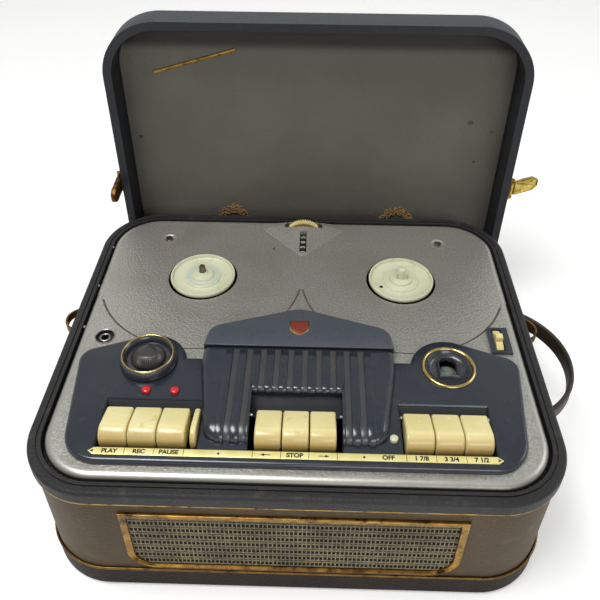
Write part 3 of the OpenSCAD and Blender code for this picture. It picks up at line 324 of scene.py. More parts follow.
# The lower trim is painted brown below 60 mm, as painted shade.
bead_brass = aged_metal("brass_drawn_worn", "#b8964a", "#8f6c31", "#4a3018", 0.25, 0.42, 0.52,
                        browned_and_shaded_below=0.06)
# The flank, broad only at the bottom of the frame, is browned brass darkened further as painted shade.
shaded_brown_brass = aged_metal("brass_rolled_browned_and_shaded", "#5e3f1a", "#452b11", "#2c1a0b", 0.38, 0.58, 0.48)
rusty_brass = aged_metal("brass_pressed_corroded", "#8f7440", "#6b4d28", "#4a2a17", 0.4, 0.65, 0.46)
rusty_steel = aged_metal("steel_turned_rusted", "#a39b8f", "#7c6a58", "#553722", 0.3, 0.55, 0.5)
gold_strip = aged_metal("aluminium_anodised_gold", "#f6eda6", "#e8da88", "#b09c50", 0.3, 0.45, 0.68, 0.4)
steel = aged_metal("steel_plated_bright", "#c4c4c0", "#a6a6a2", "#77716a", 0.2, 0.4, 0.68)
dark_metal = aged_metal("steel_lacquered_dark", "#3a3b3e", "#2e2f32", "#232220", 0.4, 0.55, 0.6)
print("metals ready")

# %% [markdown]
# ## Helpers for shapes
# Most pieces here are a row of rings joined by a skin: a knob is rings about its axis, a key is slices side
# by side, a slab is its outline at several heights. So a few helpers cover them: outlines with round
# corners, an inset that keeps an outline's points in step, a skin over rings, and a function that turns the
# result into a piece that rides on its body.

# %% Shape helpers


def arc(cx, cy, r, start, end, steps):
    turns = [math.radians(start + (end - start) * i / steps) for i in range(steps + 1)]
    return [(cx + r * math.cos(t), cy + r * math.sin(t)) for t in turns]


def quarter(steps):
    """Angles of a quarter turn, in radians, from nought up."""
    return [math.pi / 2 * k / steps for k in range(steps + 1)]


def rounded_rect(w, d, r, steps=8):
    x, y = w / 2 - r, d / 2 - r
    return (arc(x, -y, r, -90, 0, steps) + arc(x, y, r, 0, 90, steps)
            + arc(-x, y, r, 90, 180, steps) + arc(-x, -y, r, 180, 270, steps))


def box(x0, x1, y0, y1):
    return [(x0, y0), (x1, y0), (x1, y1), (x0, y1)]


def inset(loop, amounts):
    """Moves each point of a counter-clockwise outline inwards by its own amount."""
    if not isinstance(amounts, list):
        amounts = [amounts] * len(loop)
    moved = []
    for i, here in enumerate(loop):
        here = Vector(here)
        a = (here - Vector(loop[i - 1])).normalized()
        b = (Vector(loop[(i + 1) % len(loop)]) - here).normalized()
        na, nb = Vector((-a.y, a.x)), Vector((-b.y, b.x))
        moved.append(tuple(here + (na + nb) * (amounts[i] / max(1.0 + na.dot(nb), 0.3))))
    return moved


def headings(path):
    """At each point of a path, the direction along it and the direction to its right."""
    found = []
    for i in range(len(path)):
        along = (Vector(path[min(i + 1, len(path) - 1)]) - Vector(path[max(i - 1, 0)])).normalized()
        found.append((along, Vector((along.y, -along.x))))
    return found


def skin(bm, rings, closed=True, caps=True):
    """Joins rings of points, in millimetres, with faces, and caps the first and the last."""
    made = [[bm.verts.new(Vector(p) * MM) for p in ring] for ring in rings]
    count = len(made[0])
    for low, high in zip(made, made[1:]):
        for i in range(count if closed else count - 1):
            j = (i + 1) % count
            bm.faces.new((low[i], low[j], high[j], high[i]))
    if caps:
        bm.faces.new(list(reversed(made[0])))
        bm.faces.new(made[-1])


def slab(bm, loop, z0, z1, across, down=None, steps=5, tilt=None):
    """Upright slab on an outline. Its top edge rounds in by across and down, one number or one per point."""
    across = across if isinstance(across, list) else [across] * len(loop)
    if down is None:
        down = across
    down = down if isinstance(down, list) else [down] * len(loop)
    rings = [[(x, y, z0) for x, y in loop]]
    for t in quarter(steps):
        ring = []
        for (x, y), fall in zip(inset(loop, [a * (1 - math.cos(t)) for a in across]), down):
            ring.append((x, y, z1 - fall * (1 - math.sin(t)) + (tilt(x, y) if tilt else 0)))
        rings.append(ring)
    skin(bm, rings)


def pillow(bm, profile, x0, x1, r, steps=5):
    """Side profile of (y, z) points, carried along X from x0 to x1, with both side edges rounded by r."""
    turns = quarter(steps)
    ends = [(x0 + r * (1 - math.cos(t)), r * (1 - math.sin(t))) for t in turns]
    ends += [(x1 - r * (1 - math.cos(t)), r * (1 - math.sin(t))) for t in reversed(turns)]
    skin(bm, [[(x, y, z) for y, z in inset(profile, amount)] for x, amount in ends])


def lathe(bm, profile, centre, steps=64, ripple=None, axis="z"):
    """Turns (radius, height) points about an axis through centre. ripple changes a radius with the angle."""
    cx, cy, cz = centre
    rings = []
    for i, (r, h) in enumerate(profile):
        ring = []
        for k in range(steps):
            t = 2 * math.pi * k / steps
            out = r + (ripple(t, i) if ripple else 0)
            u, v = out * math.cos(t), out * math.sin(t)
            spot = {"x": (h, u, v), "y": (u, h, -v), "z": (u, v, h)}[axis]
            ring.append((cx + spot[0], cy + spot[1], cz + spot[2]))
        rings.append(ring)
    skin(bm, rings, caps=profile[0] != profile[-1])


def loose(bm, name):
    """Puts a shape into the scene as an object of that name."""
    bmesh.ops.remove_doubles(bm, verts=bm.verts[:], dist=1e-7)
    bmesh.ops.recalc_face_normals(bm, faces=bm.faces[:])
    data = bpy.data.meshes.new(name)
    bm.to_mesh(data)
    bm.free()
    return into_scene(name, data)


def shaped(make, *sizes, **options):
    """A new shape, drawn by one of the functions that add to a shape."""
    bm = bmesh.new()
    make(bm, *sizes, **options)
    return bm


def carved(bm, tool):
    """The shape bm with the shape tool cut away from it."""
    body, cutter = loose(bm, "uncut"), loose(tool, "cutter")
    cut = body.modifiers.new("cut", "BOOLEAN")
    cut.operation = "DIFFERENCE"
    cut.solver = "EXACT"
    cut.object = cutter
    result = bmesh.new()
    result.from_object(body, bpy.context.evaluated_depsgraph_get())
    bpy.data.objects.remove(body)
    bpy.data.objects.remove(cutter)
    return result


def piece(name, bm, finish, body, stands_for=(), crease=40):
    """Turns a shape into a finished piece that rides on a body and may stand for CAD nodes."""
    made = loose(bm, name)
    data = made.data
    data.polygons.foreach_set("use_smooth", [True] * len(data.polygons))
    data.set_sharp_from_angle(angle=math.radians(crease))
    data.materials.clear()
    data.materials.append(finish)
    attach(made, body)
    if stands_for:
        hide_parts(*stands_for)
    return made


print("shape helpers ready")

# %% [markdown]
# ## Parts whose CAD shape is already right
# Walls, rim, trims, deck and works keep their CAD shape. They only need their finish, so a table pairs each
# finish with its nodes. The lid's wrapped edges are soft, so its sharp edges are bevelled a little.

# %% Finishes on CAD nodes
finishes = {
    covering_dark: ["lid_shell"],
    covering_rim: ["rim_band"],
    covering_tray: ["base_tray"],
    covering_taupe: ["case_body"],
    brass: ["motor_pulley"],
    bead_brass: ["case_trims"],
    worn_brass: ["latch_hinges"],
    rusty_brass: ["lid_catches", "handle_brackets"],
    hammertone: ["deck_plate"],
    slate: ["switch_bezel"],
    rusty_steel: ["supply_spindle", "deck_screws"],
    steel: ["key_rod", "deck_brackets", "chassis", "tape_heads", "flywheel", "amplifier",
            "volume_control", "valves"],
    dark_metal: ["loudspeaker", "motor"],
    black: ["jack_socket", "counter_drums"],
    rubber: ["drive_belt", "pinch_roller"],
}
for finish, names in finishes.items():
    for name in names:
        slots = nodes[name].data.materials
        slots.clear()
        slots.append(finish)
weld = nodes["lid_shell"].modifiers.new("weld", "WELD")
weld.merge_threshold = 1e-6
soften = nodes["lid_shell"].modifiers.new("soft_edges", "BEVEL")
soften.width = 0.0025
soften.segments = 3
soften.limit_method = "ANGLE"
soften.angle_limit = math.radians(60)
print("finished", sum(len(n) for n in finishes.values()), "CAD nodes")

# %% [markdown]
# ## Embossed arcs
# The deck's front field is pressed up by less than a millimetre, along two arcs about the reels. The step
# reads as a thin brown line. A narrow ramp along each arc makes that soft step, painted a darker, browner
# hammertone than the deck, and a small round tip joins the two arcs between the reels.

# %% Embossed arcs
REEL_X, REEL_Y, DECK, FIELD = 92.0, 63.0, 126.0, 126.8
ARC_R, ARC_START, ARC_SWEEP = 92.0, -22.0, 147.0
ramp = [(-1.2, DECK + 0.02), (-0.5, DECK + 0.3), (0.1, FIELD), (0.7, FIELD + 0.03)]
bm = bmesh.new()
for side in (-1, 1):
    rings = []
    for k in range(101):
        t = math.radians(ARC_START - ARC_SWEEP * k / 100)
        rings.append([(side * (REEL_X + (ARC_R + u) * math.cos(t)), REEL_Y + (ARC_R + u) * math.sin(t), z)
                      for u, z in ramp])
    skin(bm, rings, closed=False, caps=False)
arc_end = math.radians(ARC_START - ARC_SWEEP)
tip_y = REEL_Y + ARC_R * math.sin(arc_end)
tip_r = REEL_X + ARC_R * math.cos(arc_end)
rings = []
for k in range(13):
    t = math.pi * k / 12
    rings.append([((tip_r - u) * math.cos(t), tip_y + (tip_r - u) * math.sin(t), z) for u, z in ramp])
skin(bm, rings, closed=False, caps=False)
piece("embossed_steps", bm, darker_step_paint, "case")
print("embossed arcs about x", -REEL_X, "and", REEL_X)

# %% [markdown]
# ## Rolled edge
# Round the front, the raised field runs straight into the deck's rolled edge, and the paint lies smooth
# over the bend. A quarter round carried along the edge gives it one long highlight. At the sides, where the
# arcs end, it sinks to the level of the plain deck.

# %% Rolled edge
ROLL, DECK_R, FIELD_END, SINK = 6.0, 42.5, 36.0, 16.0
low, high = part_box("deck_plate")
half_x, front_edge = high.x / MM, low.y / MM
sides = [FIELD_END - SINK * k / 4 for k in range(5)] + [0.0, -60.0]
right_side = [(half_x, y) for y in reversed(sides)]
edge_line = [(-x, y) for x, y in reversed(right_side)]
edge_line += arc(DECK_R - half_x, front_edge + DECK_R, DECK_R, 180, 270, 14)
edge_line += arc(half_x - DECK_R, front_edge + DECK_R, DECK_R, 270, 360, 14) + right_side
raised = [min(max((FIELD_END - y) / SINK, 0.0), 1.0) for x, y in edge_line] + [0.0, 0.0]
closing = [(half_x, high.y / MM), (-half_x, high.y / MM)]
rings = []
for t in quarter(12):
    line = inset(edge_line + closing, [(ROLL + r) * (1 - math.cos(t)) for r in raised])
    tops = [DECK - ROLL + (ROLL + 0.04 + (FIELD - DECK) * r) * math.sin(t) for r in raised]
    rings.append([(x, y, z) for (x, y), z in zip(line, tops)][:-2])
# The rolled edge's paint darkens the lower half of the bend, as painted shade.
piece("deck_rolled_edge", shaped(skin, rings, closed=False, caps=False),
      rolled_paint, "case", crease=80)
print("rolled edge", len(edge_line), "points, radius", ROLL, "mm")

# %% [markdown]
# ## Control panel
# The panel is one moulding. Its sides flare towards the back into two wings, and each dial sits on a round
# hump. The outline runs along arcs that meet in common tangents, so each tangent's angle is worked out from
# the two circles. The key wells and the dial holes are then cut out, with a small chamfer on every well.

# %% Control panel
PANEL = FIELD + 5.0
DIAL_X, DIAL_Y, HUMP_R = 120.0, -48.0, 30.0
KEY_PITCH, MID_PITCH, KEY_GAP, GROUP_X = 21.1, 20.0, 1.0, 110.4
KEY_FRONT, KEY_BACK = -127.0, -96.0
LEVER_X, LEVER_W = -73.4, 4.2
CUT_X, CUT_BACK = 34.0, -81.0
RED_X, RED_Y, RED_R, RED_HEAD = (-116.0, -94.1), -79.0, 2.5, 3.3
OFF_X, OFF_Y, OFF_R = 71.0, -118.5, 3.0


def tangent(a, ra, b, rb):
    """Direction, in degrees, from both centres to the tangent line on the right-hand side of a to b."""
    between = Vector(b) - Vector(a)
    turn = math.degrees(math.atan2(between.y, between.x))
    return turn - math.degrees(math.acos((ra - rb) / between.length))


corner, corner_r = (140.5, -114.0), 28.0
wing, wing_r = (164.0, -46.5), 13.0
hump = (DIAL_X, DIAL_Y)
side_turn = tangent(corner, corner_r, wing, wing_r)
back_turn = tangent(wing, wing_r, hump, HUMP_R) % 360
panel_back = -43.0
inner_turn = 180 - math.degrees(math.asin((panel_back - DIAL_Y) / HUMP_R))
half = (arc(*corner, corner_r, -90, side_turn, 10) + arc(*wing, wing_r, side_turn, back_turn, 10)
        + arc(*hump, HUMP_R, back_turn, inner_turn, 16))
outline = half + [(-x, y) for x, y in reversed(half)]
panel = shaped(slab, outline, FIELD, PANEL, 3.0, steps=6)
group_half = 1.5 * KEY_PITCH + 1.5
well_front, well_back = KEY_FRONT - 2.6, KEY_BACK + 9.5
wells = [box(-GROUP_X - group_half, LEVER_X + LEVER_W / 2 + 1, well_front, well_back),
         box(GROUP_X - group_half, GROUP_X + group_half, well_front, well_back),
         box(-CUT_X, CUT_X, well_front, CUT_BACK)]
tool = bmesh.new()
for well in wells:
    grown = inset(well, -1.3)
    skin(tool, [[(x, y, FIELD - 3) for x, y in well], [(x, y, PANEL - 1.0) for x, y in well],
                [(x, y, PANEL + 0.3) for x, y in grown], [(x, y, PANEL + 3) for x, y in grown]])
slab(tool, box(-68, 68, CUT_BACK + 1.5, -20), FIELD - 3, PANEL + 3, 0.01, steps=1)
holes = [(-DIAL_X, DIAL_Y, 4.6), (DIAL_X, DIAL_Y, 18.5), (RED_X[0], RED_Y, RED_HEAD + 0.15),
         (RED_X[1], RED_Y, RED_HEAD + 0.15), (OFF_X, OFF_Y, OFF_R + 0.1)]
for x, y, r in holes:
    lathe(tool, [(r, FIELD - 3), (r, PANEL + 3)], (x, y, 0), 48)
piece("panel_moulding", carved(panel, tool), slate, "case", ["control_panel"])
print("panel outline", len(outline), "points, side turned by", round(side_turn, 1), "degrees")

# %% [markdown]
# ## Piano keys
# Each key is an ivory cap on a dark arm that reaches back to a steel rod under the deck. The cap's front
# rolls over into a top that falls towards the back. Its side profile is carried across the key's width, and
# both side edges are rounded, which is what catches the light between neighbours.

# %% Keys
KEY_LOW, KEY_TOP, KEY_FALL, KEY_ROLL, KEY_HEEL = FIELD - 6.0, FIELD + 13.5, 6.0, 9.0, 2.0
ROD_Y, ROD_Z = -64.0, FIELD - 8.0
key_side = ([(KEY_FRONT + 0.2, KEY_LOW), (KEY_BACK, KEY_LOW)]
            + arc(KEY_BACK - KEY_HEEL, KEY_TOP - KEY_FALL - 1.6, KEY_HEEL, 0, 70, 4)
            + arc(KEY_FRONT + KEY_ROLL, KEY_TOP - KEY_ROLL, KEY_ROLL, 75, 180, 12))


def key(node, body, x, width, arm_x, edge):
    piece(node + "_cap", shaped(pillow, key_side, x - width / 2, x + width / 2, edge),
          ivory, body, [node])
    bm = bmesh.new()
    arm = [(KEY_BACK - 1, ROD_Z - 3), (ROD_Y - 3.9, ROD_Z - 2), (ROD_Y - 3.9, ROD_Z + 2),
           (KEY_BACK - 1, ROD_Z + 3)]
    pillow(bm, arm, arm_x - 2.5, arm_x + 2.5, 0.4, 2)
    lathe(bm, [(2.1, -4), (4.4, -4), (4.4, 4), (2.1, 4), (2.1, -4)], (arm_x, ROD_Y, ROD_Z), 24, axis="x")
    piece(node + "_arm", bm, dark_metal, body)


key_places = {
    "key_play": (-GROUP_X - KEY_PITCH, KEY_PITCH),
    "key_record": (-GROUP_X, KEY_PITCH),
    "key_pause": (-GROUP_X + KEY_PITCH, KEY_PITCH),
    "key_rewind": (-MID_PITCH, MID_PITCH),
    "key_stop": (0.0, MID_PITCH),
    "key_forward": (MID_PITCH, MID_PITCH),
    "key_slow": (GROUP_X - KEY_PITCH, KEY_PITCH),
    "key_middle": (GROUP_X, KEY_PITCH),
    "key_fast": (GROUP_X + KEY_PITCH, KEY_PITCH),
}
for node, (x, pitch) in key_places.items():
    key(node, node, x, pitch - KEY_GAP, x + 5, 1.7)
key("side_lever", "lever", LEVER_X, LEVER_W, LEVER_X, 1.3)
print("keys", len(key_places), "and one lever")

# %% [markdown]
# ## Push buttons
# Two red buttons stand in front of the knob and a round cream one beside the speed keys. Each is a turned
# pin with a domed head and a keeper under the deck, so its outline is simply turned about its axis.

# %% Buttons


def button(node, body, x, y, r, head, finish):
    turns = (1.57, 1.3, 1.05, 0.8, 0.5, 0.2, 0.03)
    dome = [(head * math.sin(t), PANEL + 2.2 + 0.34 * head * math.cos(t)) for t in turns]
    low = FIELD - 8
    pin = [(0.05, low), (r + 1.2, low), (r + 1.2, low + 1.5), (r, low + 1.5), (r, PANEL - 1.4),
           (head, PANEL - 1.1), (head, PANEL + 1.4)]
    piece(node + "_pin", shaped(lathe, pin + dome, (x, y, 0), 32), finish, body, [node])


button("red_button_left", "red_left", RED_X[0], RED_Y, RED_R, RED_HEAD, red)
button("red_button_right", "red_right", RED_X[1], RED_Y, RED_R, RED_HEAD, red)
button("off_button", "off_button", OFF_X, OFF_Y, OFF_R, OFF_R, cream)
print("buttons made")

# %% [markdown]
# ## Rear head cover
# Behind the tape slot lies a low cover whose plan is an arch: straight along the slot, with round shoulders
# and a blunt peak. A slab on that outline, with a soft edge and a slight fall towards the back, gives the
# real one's broad highlight. A plain red plate with a gold rim fills the place of a badge.

# %% Rear cover
SLOT_Y, SLOT_W, COVER_X, COVER_RISE = -37.3, 2.7, 77.0, 13.0
COVER_TOP = FIELD + COVER_RISE
REAR_FOOT = SLOT_Y + SLOT_W / 2
REAR_FALL, BADGE_AWAY = 0.035, 21.0


def blend_corner(points, radius, steps=6):
    """Rounds each corner of a polygon by its radius."""
    out = []
    for i, here in enumerate(points):
        here = Vector(here)
        a = Vector(points[i - 1]) - here
        b = Vector(points[(i + 1) % len(points)]) - here
        if radius[i] <= 0:
            out.append(tuple(here))
            continue
        cut = min(radius[i] / math.tan(a.angle(b) / 2), a.length * 0.49, b.length * 0.49)
        start, end = here + a.normalized() * cut, here + b.normalized() * cut
        for k in range(steps + 1):
            t = k / steps
            out.append(tuple(start * (1 - t) ** 2 + here * 2 * t * (1 - t) + end * t ** 2))
    return out


arch = blend_corner([(-COVER_X, REAR_FOOT), (COVER_X, REAR_FOOT), (COVER_X - 1.5, -13.5), (0, 11.5),
                     (1.5 - COVER_X, -13.5)], [0, 0, 16, 30, 16], 10)
edge = [0.6 if y < REAR_FOOT + 0.1 else 2.6 for x, y in arch]
cover = shaped(slab, arch, FIELD, COVER_TOP, edge, steps=6, tilt=lambda x, y: -REAR_FALL * (y - REAR_FOOT))
piece("rear_cover", cover, slate_faded, "case", ["head_cover_rear"], 50)
badge_y = REAR_FOOT + BADGE_AWAY
plate = blend_corner([(-8.1, 8.6), (-8.1, -3.0), (0, -9.0), (8.1, -3.0), (8.1, 8.6)], [1.2, 7, 3, 7, 1.2], 6)
plate = [(x, y + badge_y) for x, y in plate]
top = COVER_TOP - REAR_FALL * BADGE_AWAY
for name, grown, rise, finish, slot, stands_for in (
        ("badge_rim", 0.0, 0.3, bright_brass, "brass", []),
        ("badge_plate", 0.8, 0.5, badge_red, "badge_red", ["badge"])):
    piece(name, shaped(slab, inset(plate, grown), top - 0.6, top + rise, 0.3, steps=3),
          finish, "case", stands_for)
slot_side = box(1 - COVER_X, COVER_X - 1, REAR_FOOT - 0.3, REAR_FOOT - 0.05)
piece("slot_felt", shaped(slab, slot_side, FIELD, COVER_TOP - 0.5, 0.05, steps=1), rubber, "case")
print("rear cover outline has", len(arch), "points")

# %% [markdown]
# ## Ribbed front hood
# In front of the slot a ribbed hood covers the pinch roller. Its sides draw in towards the user, its front
# rolls down to the panel, and a notch leaves room for the middle keys. It is lofted from cross-sections
# along Y: one loft for the full width behind the notch, and one for each leg beside it. The ribs are
# flat-topped bars that follow the same side view over the roll. Dust lies between the ribs, while their
# tops are wiped clean, so the two get different finishes. Behind each bank of keys a strip of felt slopes
# down into the well, and small steel pins show beside the keys.

# %% Front hood
HOOD_BACK = SLOT_Y - SLOT_W / 2
HOOD_FRONT, HOOD_FRONT_X, HOOD_CORNER = -124.0, 66.0, 9.0
HOOD_FOOT = PANEL - 0.5
SIDE_ROUND = 6.5
NOTCH_ROLL, FRONT_ROLL = (3.2, 3.4), (13.5, 7.9)
RIB_PITCH, RIB_WIDE, RIB_RISE, RIB_SOFT = 11.0, 6.2, 1.2, 0.6


def hood_half(y):
    """Half width of the hood at a place along Y, with its front corners rounded."""
    drawn = min(max((HOOD_BACK - 18 - y) / (HOOD_BACK - 18 - HOOD_FRONT), 0.0), 1.0)
    into = max(HOOD_CORNER - (y - HOOD_FRONT), 0.0)
    return COVER_X + (HOOD_FRONT_X - COVER_X) * drawn - HOOD_CORNER + math.sqrt(HOOD_CORNER ** 2 - into ** 2)


def hood_rows(back, front, roll):
    """Places along Y and the height of the top there: a small edge at the slot, and the roll in front."""
    rows = [(back, COVER_TOP - 0.8), (back - 0.25, COVER_TOP - 0.25), (back - 0.8, COVER_TOP)]
    rows += [(back + (front + roll[0] - back) * k / 12, COVER_TOP) for k in range(1, 12)]
    along, down = roll
    return rows + [(front + along * (1 - math.sin(t)), COVER_TOP - down * (1 - math.cos(t)))
                   for t in quarter(10)]


def hood_edge(x, z, across, down):
    """Rounded upper corner of a cross-section that rises at x and ends at height z."""
    return [(x - across * (1 - math.cos(t)), z - down * (1 - math.sin(t))) for t in quarter(6)]


def hood_loft(bm, rows, inner):
    """Loft to the right of x = inner, or across the whole hood if inner is None."""
    rings = []
    for y, z in rows:
        outer = hood_half(y)
        down = min(SIDE_ROUND, 0.85 * (z - HOOD_FOOT))
        side = [(outer, HOOD_FOOT)] + hood_edge(outer, z, SIDE_ROUND, down)
        if inner is None:
            other = [(-x, h) for x, h in reversed(side)]
        else:
            other = [(2 * inner - x, h) for x, h in reversed(hood_edge(inner, z, 0.6, min(0.6, down)))]
            other.append((inner, HOOD_FOOT))
        rings.append([(x, y, h) for x, h in side + other])
    skin(bm, rings)


bm = shaped(hood_loft, hood_rows(HOOD_BACK, CUT_BACK, NOTCH_ROLL), None)
leg_rows = [(y, z - 0.02) for y, z in hood_rows(CUT_BACK + 12, HOOD_FRONT, FRONT_ROLL)]
leg = shaped(hood_loft, leg_rows, CUT_X)
one_leg = bpy.data.meshes.new("leg")
leg.to_mesh(one_leg)
leg.free()
bm.from_mesh(one_leg)
one_leg.transform(Matrix.Scale(-1, 4, (1, 0, 0)))
bm.from_mesh(one_leg)
bpy.data.meshes.remove(one_leg)
piece("front_hood", bm, slate, "case", ["head_cover_front"], 50)


def rib(bm, x, wide, rise, back, front, roll):
    """Bar along the hood's top: it rises at its back end, runs forward and follows the roll."""
    path = [(back, COVER_TOP), (back - 2.5, COVER_TOP), (back - 8, COVER_TOP)]
    path += hood_rows(back, front, roll)[-11:]
    half, soft = wide / 2, RIB_SOFT * rise / RIB_RISE
    section = [(-half, -0.8), (half, -0.8), (half, rise - soft), (half - 0.3 * soft, rise - 0.3 * soft),
               (half - soft, rise), (soft - half, rise), (0.3 * soft - half, rise - 0.3 * soft),
               (-half, rise - soft)]
    rings = []
    for i, (here, (_, out)) in enumerate(zip(path, headings(path))):
        fade = 0.1 if i == 0 else 1.0
        rings.append([(x + u, here[0] + out.x * v * fade, here[1] + out.y * v * fade) for u, v in section])
    skin(bm, rings)


def rib_end(x):
    """Where a bar at x ends and the roll there: the middle ones stop at the notch."""
    return (CUT_BACK, NOTCH_ROLL) if abs(x) < CUT_X else (HOOD_FRONT, FRONT_ROLL)


bm = bmesh.new()
for x in [i * RIB_PITCH for i in range(-5, 6)]:
    rib(bm, x, RIB_WIDE, RIB_RISE, HOOD_BACK - 2, *rib_end(x))
split_edge = 3 * RIB_PITCH + RIB_WIDE / 2
for side in (-1, 1):
    rib(bm, side * (CUT_X + split_edge) / 2, split_edge - CUT_X, RIB_RISE, CUT_BACK + 6, HOOD_FRONT,
        FRONT_ROLL)
piece("hood_ribs", bm, slate, "case", [], 50)
bm = bmesh.new()
for x in [(i + 0.5) * RIB_PITCH for i in range(-5, 5)]:
    rib(bm, x, RIB_PITCH - RIB_WIDE - 0.1, 0.1, HOOD_BACK - 2, *rib_end(x))
piece("groove_dust", bm, slate_dusty, "case", [], 50)
bm = bmesh.new()
for (left, front), (right, front), (right, back), (left, back) in wells:
    slope = [(back - 0.3, PANEL - 1.2), (KEY_BACK + 1.6, FIELD - 3.8), (KEY_BACK + 1.6, FIELD - 4.4),
             (back - 0.3, PANEL - 2.4)]
    pillow(bm, slope, left + 0.1, right - 0.1, 0.05, 1)
piece("key_aprons", bm, felt, "case")
bm = bmesh.new()
for x, y, z in ((-CUT_X, -101, 134), (CUT_X - 1.8, -101, 134), (77.2, -97.5, 130.4), (141.8, -97.5, 130.4)):
    head = [(0.1, 0.0), (1.1, 0.0), (1.4, 0.3), (1.4, 1.5), (1.1, 1.8), (0.1, 1.8)]
    lathe(bm, head, (x, y, z), 20, axis="x")
piece("key_stop_pins", bm, steel, "case")
print("hood half width", round(hood_half(HOOD_BACK), 1), "at the slot")

# %% [markdown]
# ## Label strip
# A gold strip with pointed ends runs in front of the keys. It carries plain words for what each key does,
# arrows for the winding keys, and the tape speeds. The letters are thin raised ink, from the built-in font.

# %% Label strip
STRIP_X, STRIP_FRONT, STRIP_BACK = 147.0, -136.8, -130.8
STRIP_MID = (STRIP_FRONT + STRIP_BACK) / 2
STRIP_TOP = PANEL + 0.2
INK_LOW, INK_TOP, INK_TALL = STRIP_TOP - 0.1, STRIP_TOP + 0.08, 4.9
OFF_LABEL, DOTS_X = 66.0, (-54.0, 49.0)
points = [(-STRIP_X, STRIP_MID), (4 - STRIP_X, STRIP_FRONT), (STRIP_X - 4, STRIP_FRONT), (STRIP_X, STRIP_MID),
          (STRIP_X - 4, STRIP_BACK), (4 - STRIP_X, STRIP_BACK)]
piece("gold_label_strip", shaped(slab, points, PANEL - 0.8, STRIP_TOP, 0.3, steps=2),
      gold_strip, "case", ["label_strip"])


def lettering(name, words, x, y, z, size, finish, body, turn=0.0):
    """Flat words about a point, lying on a level surface."""
    data = bpy.data.curves.new(name, "FONT")
    data.body = words
    data.size = size * MM
    data.align_x = "CENTER"
    data.align_y = "CENTER"
    data.extrude = 0.00008
    data.offset = 0.0002
    shown = into_scene(name, data)
    lifted = Matrix.Translation(Vector((x, y, z)) * MM)
    shown.matrix_world = lifted @ Matrix.Rotation(math.radians(turn), 4, "Z")
    bpy.context.view_layer.update()
    solid = bpy.data.meshes.new_from_object(shown.evaluated_get(bpy.context.evaluated_depsgraph_get()))
    solid.transform(shown.matrix_world)
    bpy.data.objects.remove(shown)
    made = into_scene(name, solid)
    solid.materials.clear()
    solid.materials.append(finish)
    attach(made, body)


labels = [("PLAY", "play", -GROUP_X - KEY_PITCH), ("REC", "record", -GROUP_X),
          ("PAUSE", "pause", KEY_PITCH - GROUP_X), ("STOP", "stop", 0.0), ("OFF", "off", OFF_LABEL),
          ("1 7/8", "slow", GROUP_X - KEY_PITCH), ("3 3/4", "middle", GROUP_X),
          ("7 1/2", "fast", GROUP_X + KEY_PITCH)]
for words, tag, x in labels:
    lettering("label_" + tag, words, x, STRIP_MID, STRIP_TOP, INK_TALL, ink, "case")
bars = [GROUP_X - 1.5 * KEY_PITCH, GROUP_X - KEY_PITCH / 2, GROUP_X + KEY_PITCH / 2, 1.5 * MID_PITCH,
        MID_PITCH / 2]
marks = [box(x - 0.2, x + 0.2, STRIP_FRONT + 0.3, STRIP_BACK - 0.3) for x in [-b for b in bars] + bars]
for x, way in ((-MID_PITCH, -1), (MID_PITCH, 1)):
    barb = x + way * 1.5
    marks += [box(x - 3, x + 3, STRIP_MID - 0.3, STRIP_MID + 0.3),
              [(x + way * 4.5, STRIP_MID), (barb, STRIP_MID + 1.1 * way), (barb, STRIP_MID - 1.1 * way)]]
marks += [arc(x, STRIP_MID, 0.9, 0, 330, 11) for x in DOTS_X]
for side in (-1, 1):
    foot = side * (STRIP_X - 4)
    marks.append([(side * (STRIP_X - 1.4), STRIP_MID), (foot, STRIP_MID + 1.2 * side),
                  (foot, STRIP_MID - 1.2 * side)])
bm = bmesh.new()
for mark in marks:
    slab(bm, mark, INK_LOW, INK_TOP, 0.04, steps=1)
piece("label_marks", bm, ink, "case")
print("labels", len(labels))

# %% [markdown]
# ## Double knob
# The left dial is two knobs on one axis: a dark outer ring with a thin brass line on its upper edge, and
# inside it a cone with ridges for the fingers and a smooth cap. The ridges come from letting the turned
# radius rise and fall with the angle.

# %% Double knob
KNOB_Z = PANEL + 0.4
RIDGES = 36
knob_at = (-DIAL_X, DIAL_Y, KNOB_Z)
ring = [(4.4, -22), (4.4, 0), (22.4, 0), (22.9, 0.6), (22.8, 2.0), (21.6, 7.6), (21.0, 8.2), (20.2, 8.3),
        (19.2, 7.8), (18.0, 5.4), (17.0, 2.6), (3.4, 2.6), (3.4, -22), (4.4, -22)]
piece("volume_ring", shaped(lathe, ring, knob_at, 96), knob_dark, "volume", ["volume_knob"])
wire = arc(20.1, 8.25, 0.72, 0, 360, 10)
piece("volume_brass_line", shaped(lathe, wire[:-1] + wire[:1], knob_at, 96), bright_brass, "volume")


def cone_ridges(t, i):
    return 0.6 * math.cos(RIDGES * t) if 2 <= i <= 8 else 0.0


cone = [(3.1, -30), (3.1, 3.0), (13.6, 3.0), (13.5, 4.0), (12.6, 5.6), (11.4, 7.0), (10.0, 8.2), (8.6, 9.1),
        (7.8, 9.5), (7.0, 9.8), (6.2, 10.2), (4.6, 10.5), (2.4, 10.6), (0.3, 10.6)]
piece("tone_cone", shaped(lathe, cone, knob_at, RIDGES * 6, cone_ridges),
      cone_dark, "tone", ["tone_knob"], 60)
print("knob rings", len(ring), len(cone))

# %% [markdown]
# ## Tuning eye
# The right dial holds a tuning indicator, a small valve seen through a hooded window in a dark dish. The
# brass ring is a turned wire, the window's lip is a bead along an arch, and the valve's glass top shows
# inside.

